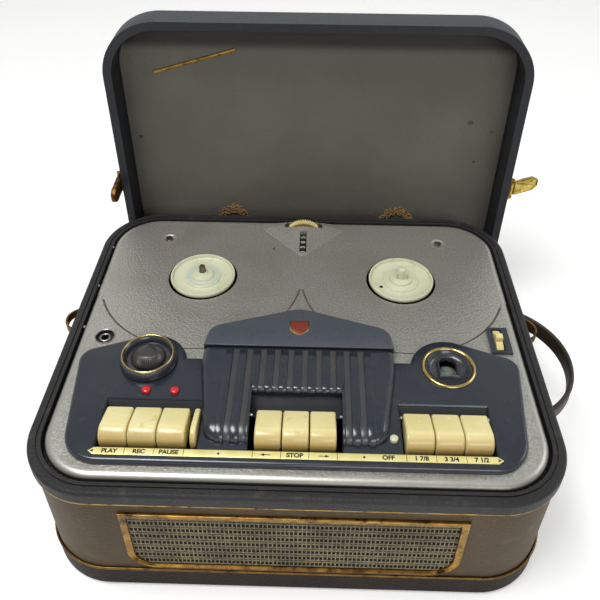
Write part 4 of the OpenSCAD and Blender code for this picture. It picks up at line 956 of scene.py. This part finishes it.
# %% Tuning eye
eye_at = (DIAL_X, DIAL_Y, 0)
turns = [math.pi * k / 8 for k in range(16)]
wire = [(20.2 + 1.6 * math.cos(t), PANEL + 0.4 + 1.5 * math.sin(t)) for t in turns]
piece("eye_ring", shaped(lathe, wire + wire[:1], eye_at, 96), bright_brass, "case", ["eye_bezel"])
window = [(-6.6, -7.2), (6.6, -7.2)] + arc(0, 4.4, 6.6, 0, 180, 14)
placed = [(DIAL_X + x, DIAL_Y + y) for x, y in window]
cup = [(0.2, FIELD + 0.4), (18.3, FIELD + 0.4), (18.3, PANEL + 1.0), (17.4, PANEL + 0.9), (15.2, FIELD + 2.8),
       (13.0, FIELD + 1.9), (0.2, FIELD + 1.6)]
cup = carved(shaped(lathe, cup, eye_at, 72), shaped(slab, placed, FIELD - 3, FIELD + 9, 0.01, steps=1))
piece("eye_cup", cup, knob_dark, "case", ["eye_dish"])
rings = []
for amount, z in ((0.0, 0.6), (0.0, 4.2), (0.4, 4.8), (0.9, 4.8), (1.5, 4.0), (2.4, 1.8)):
    rings.append([(x, y, FIELD + z) for x, y in inset(placed, -amount)])
piece("eye_window_lip", shaped(skin, rings, caps=False), knob_dark, "case")
glass, tree, shader, place = start_finish("glass_blown_smoked", Roughness=0.08, IOR=1.5, Coat_Weight=0.6)
tree.links.new(blotched(tree, place, 6, 0.4, 0.65, "#7d827c", "#565b57"), shader.inputs["Base Color"])
valve = [(0.3, 72.0), (9.0, 72.0), (9.0, 80.0), (10.0, 81.5)]
dome = [(10.0 * math.cos(t), 121.5 + 4.6 * math.sin(t)) for t in (0, 0.3, 0.6, 0.9, 1.2, 1.45, 1.54)]
piece("eye_glass", shaped(lathe, valve + dome, eye_at, 48), glass, "case", ["eye_tube"])
print("window points", len(window))

# %% [markdown]
# ## Platters
# The two reel platters are cream mouldings: a thin rim round a dish, a step and a hub. The left keeps its
# rusty steel spindle with splines. The right has a cream post with three ribs, and in its dish a small
# black disc that stands for a hole, as painted shade.

# %% Platters
EDGE_R = 59.5 / 2
dish = [(3.3, -9), (6.5, -9), (6.5, -1.5), (EDGE_R - 2, -1.5), (EDGE_R - 0.5, -0.6), (EDGE_R, 0.6),
        (EDGE_R, 2.6), (EDGE_R - 0.4, 3.3), (EDGE_R - 1.0, 3.5), (EDGE_R - 1.6, 3.3), (EDGE_R - 2.0, 2.4),
        (EDGE_R - 2.6, 0.6), (EDGE_R - 4.0, -0.2), (17.2, -0.3), (16.4, -0.1), (16.0, 1.2), (15.2, 1.6),
        (11.0, 1.7), (10.4, 2.0), (10.0, 3.6)]
hub_left = [(9.2, 4.6), (8.2, 4.9), (5.6, 4.9), (5.0, 5.3), (4.6, 6.6), (3.9, 6.9), (3.3, 6.9), (3.3, -9)]
hub_right = [(8.4, 4.0), (7.4, 4.5), (5.9, 4.6), (3.9, 4.6), (3.9, 13.6), (3.5, 14.8), (2.4, 15.6),
             (1.6, 15.6), (1.4, 14.6), (0.3, 14.5)]
piece("supply_disc", shaped(lathe, dish + hub_left, (-REEL_X, REEL_Y, DECK), 96),
      cream, "supply_reel", ["supply_platter"])
bm = bmesh.new()
lathe(bm, [(0.3, -42), (3.2, -42)] + dish[1:] + hub_right, (REEL_X, REEL_Y, DECK), 96)
for turn in (90, 210, 330):
    spin = Matrix.Rotation(math.radians(turn), 2)
    loop = [spin @ Vector(p) + Vector((REEL_X, REEL_Y)) for p in box(3.4, 5.3, -0.8, 0.8)]
    slab(bm, [tuple(p) for p in loop], DECK + 4.4, DECK + 12.0, 0.5, 1.0, steps=3)
piece("takeup_disc", bm, cream, "takeup_reel", ["takeup_platter"])
mark = [(10.6, 1.6), (15.0, 1.55), (15.0, 1.68), (10.6, 1.78), (10.6, 1.6)]
piece("supply_felt_mark", shaped(lathe, mark, (-REEL_X, REEL_Y, DECK), 96),
      blue_grey, "supply_reel")
# A black disc stands for a hole in the dish, as painted shade.
turn = math.radians(205)
spot = (REEL_X + 20.5 * math.cos(turn), REEL_Y + 20.5 * math.sin(turn), DECK - 0.28)
piece("takeup_hole_shade", shaped(lathe, [(1.7, 0.0), (1.7, 0.12), (1.3, 0.14), (0.1, 0.1)], spot, 24),
      black, "takeup_reel")
print("platter rings", len(dish) + len(hub_left))

# %% [markdown]
# ## Tape counter
# Number drums show through a slot in the raised roof at the back, and a knurled wheel behind them winds
# them to zero. The wheel is turned about Y with a radius that ripples. Each drum carries a plain digit. A
# skin of paint gives the roof soft eaves, and black plates at both ends of the wheel's slot stand for the
# shade inside it, as painted shade.

# %% Counter
AXLE_Z, WHEEL_Y, TEETH = DECK - 9.5, 140.0, 60
DRUM_Y, DRUM_PITCH, DIGIT_TALL = 103.75, 8.0, 6.4
wheel = [(2.02, 2.2), (12.4, 2.2), (16.0, 0.6), (17.2, 1.1), (17.5, 1.8), (17.5, 5.1), (16.9, 5.7),
         (15.2, 6.0), (2.02, 6.0), (2.02, 2.2)]


def knurl(t, i):
    return 0.75 * math.cos(TEETH * t) if 2 <= i <= 6 else 0.0


piece("counter_knurled_wheel", shaped(lathe, wheel, (0, WHEEL_Y, AXLE_Z), TEETH * 6, knurl, "y"),
      ivory, "counter", ["counter_wheel"], 60)
for i, digit in enumerate("0385"):
    lettering("counter_digit_" + str(i + 1), digit, 0, DRUM_Y + DRUM_PITCH * i, AXLE_Z + 8.25, DIGIT_TALL,
              white_paint, "counter", 90)
ROOF_FRONT, ROOF_BACK, ROOF_X, ROOF_RISE, SKIN = 97.0, 147.0, 40.0, 5.0, 0.12
bm = bmesh.new()
for side in (-1, 1):
    facet = [(0, ROOF_FRONT, DECK), (0, ROOF_BACK, DECK + ROOF_RISE), (side * ROOF_X, ROOF_BACK - 8, DECK)]
    skin(bm, [[(x, y, z - 0.1) for x, y, z in facet], [(x, y, z + SKIN) for x, y, z in facet]])
tool = bmesh.new()
drum_slot, wheel_slot = box(-3.4, 3.4, 99, 132), box(-21, 21, 139, 148)
for slot in (drum_slot, wheel_slot):
    slab(tool, slot, DECK - 5, DECK + 9, 0.01, steps=1)
roof = carved(bm, tool)
eaves = [(-ROOF_X, ROOF_BACK - 8), (-2.2, ROOF_FRONT + 2.1), (0, ROOF_FRONT + 1), (2.2, ROOF_FRONT + 2.1),
         (ROOF_X, ROOF_BACK - 8)]
slope = [(-2.4, -0.1), (-1.4, 0.08), (-0.2, 0.26), (1.0, 0.36), (2.4, 0.38)]
rings = [[(x, y + forth, DECK + rise) for forth, rise in slope] for x, y in eaves]
skin(roof, rings, closed=False, caps=False)
piece("counter_roof", roof, roof_paint, "case")


def roof_z(x, y):
    return DECK + ROOF_RISE * (y - ROOF_FRONT) / (ROOF_BACK - ROOF_FRONT) - 0.105 * abs(x)


# Painted shade: black plates at both ends of the wheel's slot.
bm = bmesh.new()
for side in (-1, 1):
    mouth = box(side * 16.9 - 2.0, side * 16.9 + 2.0, 139.2, 144.2)
    skin(bm, [[(x, y, roof_z(x, y) + lift) for x, y in mouth] for lift in (-0.3, 0.22)])
piece("counter_slot_shade_plates", bm, black, "case")
print("counter wheel, four digits and the roof")

# %% [markdown]
# ## Rocker, socket and small fastenings
# The rocker at the right is a slim cream bar with a thumb ridge across its middle. The socket at the left
# is a dark cup with bright rings. Screw dimples shine where the paint is worn, and nail heads show in the
# rim's groove.

# %% Rocker, socket and fastenings
ROCK_X, ROCK_Y, ROCK_W = 166.8, -13.6, 5.8
SCREW_X, SCREW_Y = 133.5, 120.0
rocker = [(-11, -1), (-3, -4), (3, -4), (11, -1), (11, 2.0), (10.2, 2.6), (3.8, 4.2), (3.0, 7.4), (2.2, 8.0),
          (-2.2, 8.0), (-3.0, 7.4), (-3.8, 4.2), (-10.2, 2.6), (-11, 2.0)]
rocker = [(ROCK_Y + y, FIELD + z) for y, z in rocker]
piece("rocker_bar", shaped(pillow, rocker, ROCK_X - ROCK_W / 2, ROCK_X + ROCK_W / 2, 0.7, 3),
      ivory, "rocker", ["switch_rocker"])
jack = (-164.0, -17.5, FIELD)
bm = bmesh.new()
inner = [(3.3, -1.6), (3.35, -0.7), (3.7, -0.5), (4.4, -0.6), (4.8, -1.0), (4.8, -1.6), (3.3, -1.6)]
outer = [(7.5, -2.2), (7.5, 0.2), (8.0, 0.55), (8.5, 0.5), (8.7, 0.1), (8.4, -0.2), (7.5, -2.2)]
lathe(bm, inner, jack, 48)
lathe(bm, outer, jack, 48)
piece("socket_rings", bm, steel, "case")
bm = bmesh.new()
for side in (-1, 1):
    dimple = [(3.4, -1.15), (5.0, -0.7), (6.6, 0.02), (7.2, 0.2), (7.8, 0.05), (7.8, -0.1), (6.4, -0.3),
              (3.4, -1.3), (3.4, -1.15)]
    lathe(bm, dimple, (side * SCREW_X, SCREW_Y, DECK), 48)
piece("screw_dimples", bm, roof_paint, "case")
bm = bmesh.new()
for x, y in ((-187.0, 106.5), (-187.0, 49.5), (-185.6, -4.0)):
    lathe(bm, [(1.3, -1.0), (1.3, 0.0), (1.0, 0.35), (0.1, 0.45)], (x, y, 124.3), 16)
piece("rim_nails", bm, steel, "case")
print("rocker, socket, dimples and nails made")

# %% [markdown]
# ## Grille frame
# A rolled brass frame holds the grille. Its section is a ridge between a cove, which slopes in to the
# cloth, and a flank, which slopes out to the case. The ridge runs near the outer edge at the top and sides,
# and near the inner edge below, where the flank is broad. The flank is browned brass painted darker still,
# as painted shade, and the cove is painted brown near the bottom, also as painted shade. Each step of the
# section gives its inset and depth at the top and at the bottom, and the outline's round lower corners
# blend the two.

# %% Grille frame
low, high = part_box("grille_frame")
front_y, back_y = low.y / MM, high.y / MM
frame_z = (low.z + high.z) / 2 / MM
wide, tall = (high.x - low.x) / MM, (high.z - low.z) / MM
LOWER_R = 22.0
across, down = wide / 2 - LOWER_R, LOWER_R - tall / 2
frame_line = (arc(across, down, LOWER_R, -90, 0, 14) + [(wide / 2, tall / 2), (-wide / 2, tall / 2)]
              + arc(-across, down, LOWER_R, 180, 270, 14))
flank = [(0.0, 0.0, 2.6, 2.6), (0.0, 0.0, 2.5, 1.5), (0.02, 0.8, 2.4, 0.9), (0.04, 2.6, 2.3, 0.5),
         (0.06, 4.2, 2.2, 0.3)]
ridge = [(0.05, 4.1, 2.25, 0.35), (0.05, 4.2, 0.9, 0.15), (0.25, 4.35, 0.3, 0.05), (0.7, 4.5, 0.0, 0.0),
         (1.2, 4.7, 0.1, 0.05), (1.7, 4.8, 0.3, 0.2)]
cove = [(1.65, 4.75, 0.3, 0.2), (2.6, 4.9, 0.6, 0.6), (3.8, 5.1, 0.85, 1.4), (5.2, 5.35, 1.1, 2.0),
        (5.4, 5.4, 2.6, 2.6)]
# The cove is painted brown near its bottom, as painted shade.
cove_brass = aged_metal("brass_rolled_shaded", "#a88440", "#7d5c2a", "#3a2410", 0.3, 0.5, 0.5,
                        browned_and_shaded_below=low.z + 0.006)


def carried(bm, section):
    """Carries a section round the frame, blending its upper and lower insets and depths."""
    lowness = [min(max((down - z) / LOWER_R, 0.0), 1.0) for x, z in frame_line]
    rings = []
    for inset_high, inset_low, depth_high, depth_low in section:
        line = inset(frame_line, [inset_high + (inset_low - inset_high) * k for k in lowness])
        depths = [depth_high + (depth_low - depth_high) * k for k in lowness]
        rings.append([(x, front_y + depth, frame_z + z) for (x, z), depth in zip(line, depths)])
    skin(bm, rings, caps=False)


for name, section, finish, stands_for in (
        ("grille_ridge", ridge, worn_brass, ["grille_frame"]),
        ("grille_flank", flank, shaded_brown_brass, []),
        ("grille_cove", cove, cove_brass, [])):
    piece(name, shaped(carried, section), finish, "case", stands_for)
print("frame", wide, "x", tall, "mm, front at", round(front_y, 2), "back at", round(back_y, 2))

# %% [markdown]
# ## Woven grille
# The speaker looks out through a coarse woven fret: flat upright threads cross pairs of level ones, and
# leave rows of small dark holes. It is woven here thread by thread, each upright passing behind the level
# pairs and coming forward between them, over a near-black sheet behind the frame that stands for the
# shade inside the case, as painted shade.

# %% Woven grille
low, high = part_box("grille_cloth")
x0, x1, z0, z1 = low.x / MM + 0.4, high.x / MM - 0.4, low.z / MM + 0.4, high.z / MM - 0.4
face_y = low.y / MM + 0.55
ROW, COLUMN, CORNER = 8.5, 3.13, 11.0
PAIR_HALF, WEFT_HALF, WARP_HALF = 1.4, 0.9, 0.46


def woven(name, straw, shaded, dirt):
    finish, tree, shader, place = start_finish(name, Roughness=0.6, IOR=1.5)
    shade = blotched(tree, place, 25, 0.35, 0.7, straw, shaded)
    tree.links.new(blotched(tree, place, 2.5, 0.45, 0.75, shade, dirt), shader.inputs["Base Color"])
    twist = add(tree, "ShaderNodeTexNoise", {"Vector": place, "Scale": per_mm(0.7), "Detail": 2.0})
    strands = {"Height": twist.outputs["Fac"], "Distance": 0.15 * MM, "Strength": 0.5}
    add(tree, "ShaderNodeBump", strands, shader.inputs["Normal"])
    return finish


weft = woven("cotton_woven_brown", "#857959", "#675c42", "#3a3220")
warp = woven("cotton_woven_straw", "#968d74", "#776e56", "#473f2b")
# Painted shade: a near-black sheet behind the weave, for the dark inside the case.
shade_backing, tree, shader, place = start_finish("sheet_painted_shade_black", Roughness=0.9, IOR=1.5)
tree.links.new(blotched(tree, place, 1.2, 0.4, 0.7, "#090807", "#110f0c"), shader.inputs["Base Color"])


def grille_span(z):
    """Half width of the opening at a height: its lower corners are round."""
    if z > z0 + CORNER:
        return x1
    return x1 - CORNER + math.sqrt(max(CORNER ** 2 - (z0 + CORNER - z) ** 2, 0.0))


def ribbon(bm, spine, across, out, half, bulge):
    """Flat thread along a spine, half as wide as across says, and domed by bulge."""
    section = [(-1.0, 0.0), (-0.5, 0.8), (0.0, 1.0), (0.5, 0.8), (1.0, 0.0)]
    rings = [[Vector(p) + across * half * u + out * bulge * v for u, v in section] for p in spine]
    skin(bm, rings, closed=False, caps=False)


forward = Vector((0, -1, 0))
bm = bmesh.new()
rows = int((z1 - z0) / ROW) + 1
for k in range(rows + 1):
    for offset in (-PAIR_HALF, PAIR_HALF):
        z = z0 + 0.6 + k * ROW + offset
        if z0 < z < z1:
            half = grille_span(z)
            spine = [(-half + 2 * half * i / 60, face_y, z) for i in range(61)]
            ribbon(bm, spine, Vector((0, 0, 1)), forward, WEFT_HALF, 0.5)
weave = piece("grille_weft", bm, weft, "case", crease=80)
bm = bmesh.new()
columns = int((x1 - x0) / COLUMN)
for c in range(columns + 1):
    x = x0 + 0.5 + c * COLUMN
    spine = []
    for i in range(rows * 8 + 1):
        z = z0 + i * (z1 - z0) / (rows * 8)
        swing = math.cos(2 * math.pi * (z - z0 - 0.6) / ROW)
        if abs(x) < grille_span(z):
            spine.append((x, face_y + 0.1 + 0.45 * swing, z))
    if len(spine) > 2:
        ribbon(bm, spine, Vector((1, 0, 0)), forward, WARP_HALF, 0.3)
uprights = piece("grille_warp", bm, warp, "case", crease=80)
# The sheet of painted shade behind the weave.
bm = bmesh.new()
grid = bmesh.ops.create_grid(bm, x_segments=24, y_segments=8, size=0.5)
for v in grid["verts"]:
    v.co = Vector((v.co.x * (x1 - x0), face_y + 0.62, (v.co.y + 0.5) * (z1 - z0) + z0)) * MM
cloth = piece("grille_shade_backing", bm, shade_backing, "case", ["grille_cloth"])

# %% [markdown]
# ## Leather handle
# The carrying handle is a flat leather strap. It leaves the wall at two brass caps, bends out and bows
# round the fingers. Its path is three arcs that meet smoothly, and its section is a flat oval with a row of
# stitches along each edge.

# %% Handle
HALF, BULGE, BEND_R, TAB = 75.0, 41.0, 22.0, 18.0
SIDE_X, STRAP_Z, STRAP_W, STRAP_T = 197.1, 86.0, 16.0, 4.0
sweep = 2 * math.atan(BULGE / HALF)
bow_r = HALF / math.sin(sweep) - BEND_R
path = [(0.0, -HALF - TAB), (0.0, -HALF - 6)]
for t in [sweep * i / 12 for i in range(13)]:
    path.append((BEND_R * (1 - math.cos(t)), BEND_R * math.sin(t) - HALF))
ends = path[:]
for t in [sweep * i / 24 for i in range(-23, 24)]:
    path.append((BULGE - bow_r + bow_r * math.cos(t), bow_r * math.sin(t)))
path += [(x, -y) for x, y in reversed(ends)]
strap_skin, tree, shader, place = start_finish("leather_waxed_dark", IOR=1.5)
shade = blotched(tree, place, 20, 0.35, 0.7, "#2a2119", "#1c1610")
tree.links.new(blotched(tree, place, 4, 0.6, 0.85, shade, "#57432f", 6.0), shader.inputs["Base Color"])
cracks = {"Vector": place, "Scale": per_mm(1.6)}
creases = add(tree, "ShaderNodeTexVoronoi", cracks, feature="DISTANCE_TO_EDGE").outputs["Distance"]
worn(tree, shader, creases, 0.5, 0.65, creases, 0.3, 0.4)
section = rounded_rect(STRAP_T - 0.2, STRAP_W - 0.2, 1.5, 3)
rings = []
stitches = []
for (x, y), (along, out) in zip(path, headings(path)):
    rings.append([(SIDE_X + x + out.x * u, y + out.y * u, STRAP_Z + v) for u, v in section])
    stitches.append((Vector((SIDE_X + x, y)) + out * (STRAP_T / 2 - 0.12), along, out))
piece("handle_leather", shaped(skin, rings), strap_skin, "case", ["handle_strap"])
thread = moulding("linen_thread_waxed", "#4a3c2a", "#3c3022", "#2a2118", 0.6, 1.5)
turns = [math.pi * k / 3 for k in range(6)]
bm = bmesh.new()
for here, along, out in stitches[3:-3]:
    for z in (STRAP_Z - STRAP_W / 2 + 2.4, STRAP_Z + STRAP_W / 2 - 2.4):
        rings = []
        for s, r in ((-1.5, 0.08), (-1.1, 0.3), (1.1, 0.3), (1.5, 0.08)):
            p = here + along * s
            rings.append([(p.x + out.x * r * math.cos(t), p.y + out.y * r * math.cos(t), z + r * math.sin(t))
                          for t in turns])
        skin(bm, rings)
piece("handle_stitches", bm, thread, "case")
print("strap path", len(path), "points")

# %% [markdown]
# ## Lid lining
# Inside the lid a board covered in grey leathercloth is set against the panel. It is a thin slab with a
# soft edge. Near the top a plain brass bar marks the place of a nameplate, and lower down two crumbled foam
# pads are left from cushions that once pressed on the reels. A few dark stains are all that is left of
# others.

# %% Lid lining
low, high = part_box("lid_lining")
lid_x, lid_z = (low.x + high.x) / 2 / MM, (low.z + high.z) / 2 / MM
LINING_Y, LINING_T = low.y / MM, (high.y - low.y) / MM


def upright(bm, outline, back, steps):
    """Slab that stands against the lining: rings of an X and Z outline at given insets and depths."""
    skin(bm, [[(x, back + y, z) for x, z in inset(outline, amount)] for amount, y in steps])


outline = rounded_rect((high.x - low.x) / MM, (high.z - low.z) / MM, 45.8, 12)
outline = [(lid_x + x, lid_z + z) for x, z in outline]
soft = [(1.2 * (1 - math.cos(t)), 1.2 * (1 - math.sin(t))) for t in (0, 0.5, 1.0, 1.57)]
# The lining board's finish carries the painted shadow along its top.
piece("lining_board", shaped(upright, outline, LINING_Y, [(0.0, LINING_T)] + soft),
      lining_cloth, "lid", ["lid_lining"])
BAR_AT, BAR_RISE, BAR_RUN, BAR_TALL = (-106.8, 280.6), 23.9, 80.4, 3.0
tilt = Matrix.Rotation(math.atan2(BAR_RISE, BAR_RUN), 2)
bar = [tuple(tilt @ Vector(p) + Vector(BAR_AT)) for p in rounded_rect(83.9, BAR_TALL, 1.4, 5)]
piece("lid_inner_bar", shaped(upright, bar, LINING_Y, [(0.0, 0.0), (0.0, -0.9), (0.5, -1.3)]),
      worn_brass, "lid")
random.seed(7)
stain = moulding("glue_dried_dark", "#3d352b", "#4a4136", "#57503f", 0.7, 1.5)
bm = bmesh.new()
for x, z, r in ((164, 220, 3.2), (187, 210, 2.0), (174, 175, 1.6), (-168, 198, 2.6)):
    blob = [(x + r * random.uniform(0.6, 1.2) * math.cos(t), z + r * random.uniform(0.5, 1.1) * math.sin(t))
            for t in [math.pi * k / 8 for k in range(16)]]
    upright(bm, blob, LINING_Y, [(0.0, 0.0), (0.1, -0.12)])
piece("lining_stains", bm, stain, "lid")
foam = moulding("foam_perished_brown", "#84663f", "#a18055", "#503824", 0.85, 1.5)
for label, cx, cz, wide, tall in (("left", -77.7, 92.5, 17.5, 23.0), ("right", 100.5, 94.0, 19.5, 23.0)):
    bm = bmesh.new()
    for k in range(320):
        t = math.radians(random.uniform(5, 175))
        far = random.uniform(0.55, 1.0)
        size = random.uniform(0.4, 1.4)
        ball = bmesh.ops.create_icosphere(bm, subdivisions=1, radius=size * MM)
        spot = (cx + wide * far * math.cos(t), LINING_Y - size * 0.35, cz + tall * far * math.sin(t))
        spot = Vector(spot) * MM
        for v in ball["verts"]:
            v.co = v.co * random.uniform(0.75, 1.25) + spot
    pad = piece("worn_pad_" + label, bm, foam, "lid")
print("lining at y", round(LINING_Y, 1))

# %% [markdown]
# ## Latch straps
# Two brass straps hold the lid shut. Each is a shallow pressed pan on a rolled knuckle, so it is built in
# its own directions, along the strap and out from it, and then turned about the hinge pin. The right one
# hangs open, as it was left, and shows its hollow side.

# %% Latch straps
PIN_X, PIN_Y, PIN_Z, LID_SHIFT = 201.3, 176.0, 156.5, 10.5
STRAP_LONG, STRAP_HALF = 32.6, 7.7
pan = blend_corner([(2.6, -STRAP_HALF), (26.5, -STRAP_HALF), (STRAP_LONG, -4.0), (STRAP_LONG, 4.0),
                    (26.5, STRAP_HALF), (2.6, STRAP_HALF)], [1.0, 5.0, 2.5, 2.5, 5.0, 1.0], 5)
pressed = [(2.6, -1.2), (1.9, -1.3), (1.3, -2.2), (0.9, -2.5), (0.3, -2.3), (0.0, -1.6), (0.0, 1.2),
           (0.3, 1.9), (1.2, 2.4), (3.0, 2.6)]
for side, turned_by, body, look in ((-1, 0, "latch_left", rusty_brass), (1, 115, "latch_right", old_brass)):
    turn = math.radians(side * turned_by)
    along = Vector((math.sin(turn), -math.cos(turn)))
    out = Vector((math.cos(turn), math.sin(turn))) * side
    pin = Vector((LID_SHIFT + side * PIN_X, PIN_Y))
    rings = []
    for amount, depth in pressed:
        spots = [(pin + along * u + out * depth, w) for u, w in inset(pan, amount)]
        rings.append([(spot.x, spot.y, PIN_Z + w) for spot, w in spots])
    bm = shaped(skin, rings)
    knuckle = [(1.45, -7.6), (2.2, -7.6), (2.4, -7.3), (2.4, 7.3), (2.2, 7.6), (1.45, 7.6), (1.45, -7.6)]
    lathe(bm, knuckle, (pin.x, pin.y, PIN_Z), 32)
    bridge = [pin + along * 1.6 - out, pin + along * 4 - out, pin + along * 4 + out, pin + along * 1.6 + out]
    slab(bm, [tuple(v) for v in bridge], PIN_Z - 7.3, PIN_Z + 7.3, 0.1, steps=1)
    piece(body + "_strap", bm, look, body, [body])
print("latch straps", STRAP_LONG, "mm long")

# %% [markdown]
# ## Floor and light
# The recorder stands on a plain pale surface that runs up into a backdrop. One soft lamp above and in front
# and two weaker ones give the even light of a studio table. The sky is brighter overhead than at the
# horizon, so rolled edges show a crisp line. The backdrop looks white to the camera without lighting the
# object more.

# %% Floor and light
floor_finish, tree, shader, place = start_finish("paper_matt_pale", Roughness=0.9)
shader.inputs["Base Color"].default_value = linear("#f4f4f2")


def seen_rays(tree):
    """One for rays that show the backdrop: straight to the camera, or by way of metal and glass."""
    path = add(tree, "ShaderNodeLightPath").outputs
    straight = {0: path["Is Camera Ray"], 1: path["Is Glossy Ray"]}
    either = add(tree, "ShaderNodeMath", straight, operation="MAXIMUM")
    rays = {0: either.outputs[0], 1: path["Is Transmission Ray"]}
    return add(tree, "ShaderNodeMath", rays, operation="MAXIMUM").outputs[0]


FLOOR_GLOW = 0.22
glow = {0: seen_rays(tree), 1: FLOOR_GLOW}
add(tree, "ShaderNodeMath", glow, shader.inputs["Emission Strength"], operation="MULTIPLY")
shader.inputs["Emission Color"].default_value = linear("#ffffff")
BEND_Y, BEND = 1.2, 0.8
turns = [math.pi / 20 * k for k in range(1, 11)]
curve = [(BEND_Y + BEND * math.sin(t), BEND - BEND * math.cos(t)) for t in turns]
sweep_line = [(-3.0, 0.0), (BEND_Y, 0.0)] + curve + [(BEND_Y + BEND, 3.0)]
rings = [[(x / MM, y / MM, z / MM) for y, z in sweep_line] for x in (-4.0, 4.0)]
floor = loose(shaped(skin, rings, closed=False, caps=False), "studio_floor")
floor.data.polygons.foreach_set("use_smooth", [True] * len(floor.data.polygons))
floor.data.materials.append(floor_finish)


def lamp(name, place, target, wide, deep, power):
    data = bpy.data.lights.new(name, "AREA")
    data.shape = "RECTANGLE"
    data.size = wide
    data.size_y = deep
    data.energy = power
    made = into_scene(name, data)
    made.location = place
    made.rotation_euler = (Vector(target) - Vector(place)).to_track_quat("-Z", "Y").to_euler()


lamp("key_light", (-0.5, -0.3, 1.8), (0, 0.05, 0.1), 0.9, 0.6, 21)
lamp("front_fill", (0.4, -1.5, 0.95), (0, 0, 0.1), 0.9, 0.5, 6.5)
lamp("side_light", (1.5, 0.4, 1.2), (0, 0.1, 0.12), 0.9, 0.6, 5)
world = bpy.data.worlds.new("studio_world")
bpy.context.scene.world = world
world.use_nodes = True
tree = world.node_tree
heading = add(tree, "ShaderNodeTexCoord").outputs["Generated"]
height = add(tree, "ShaderNodeSeparateXYZ", {"Vector": heading}).outputs["Z"]
rise = {"Value": height, "From Min": -0.1, "From Max": 0.9, "To Min": 0.15, "To Max": 0.46}
ceiling = add(tree, "ShaderNodeMapRange", rise).outputs[0]
band = add(tree, "ShaderNodeMapRange", {"Value": height, "From Min": 0.34, "From Max": 0.18}).outputs[0]
white = add(tree, "ShaderNodeMath", {0: seen_rays(tree), 1: band}, operation="MULTIPLY").outputs[0]
sky = tree.nodes["Background"]
sky.inputs["Color"].default_value = linear("#ffffff")
add(tree, "ShaderNodeMix", {0: white, 2: ceiling, 3: 1.0}, sky.inputs["Strength"])
bpy.context.scene.view_settings.view_transform = "Standard"
print("three lamps")
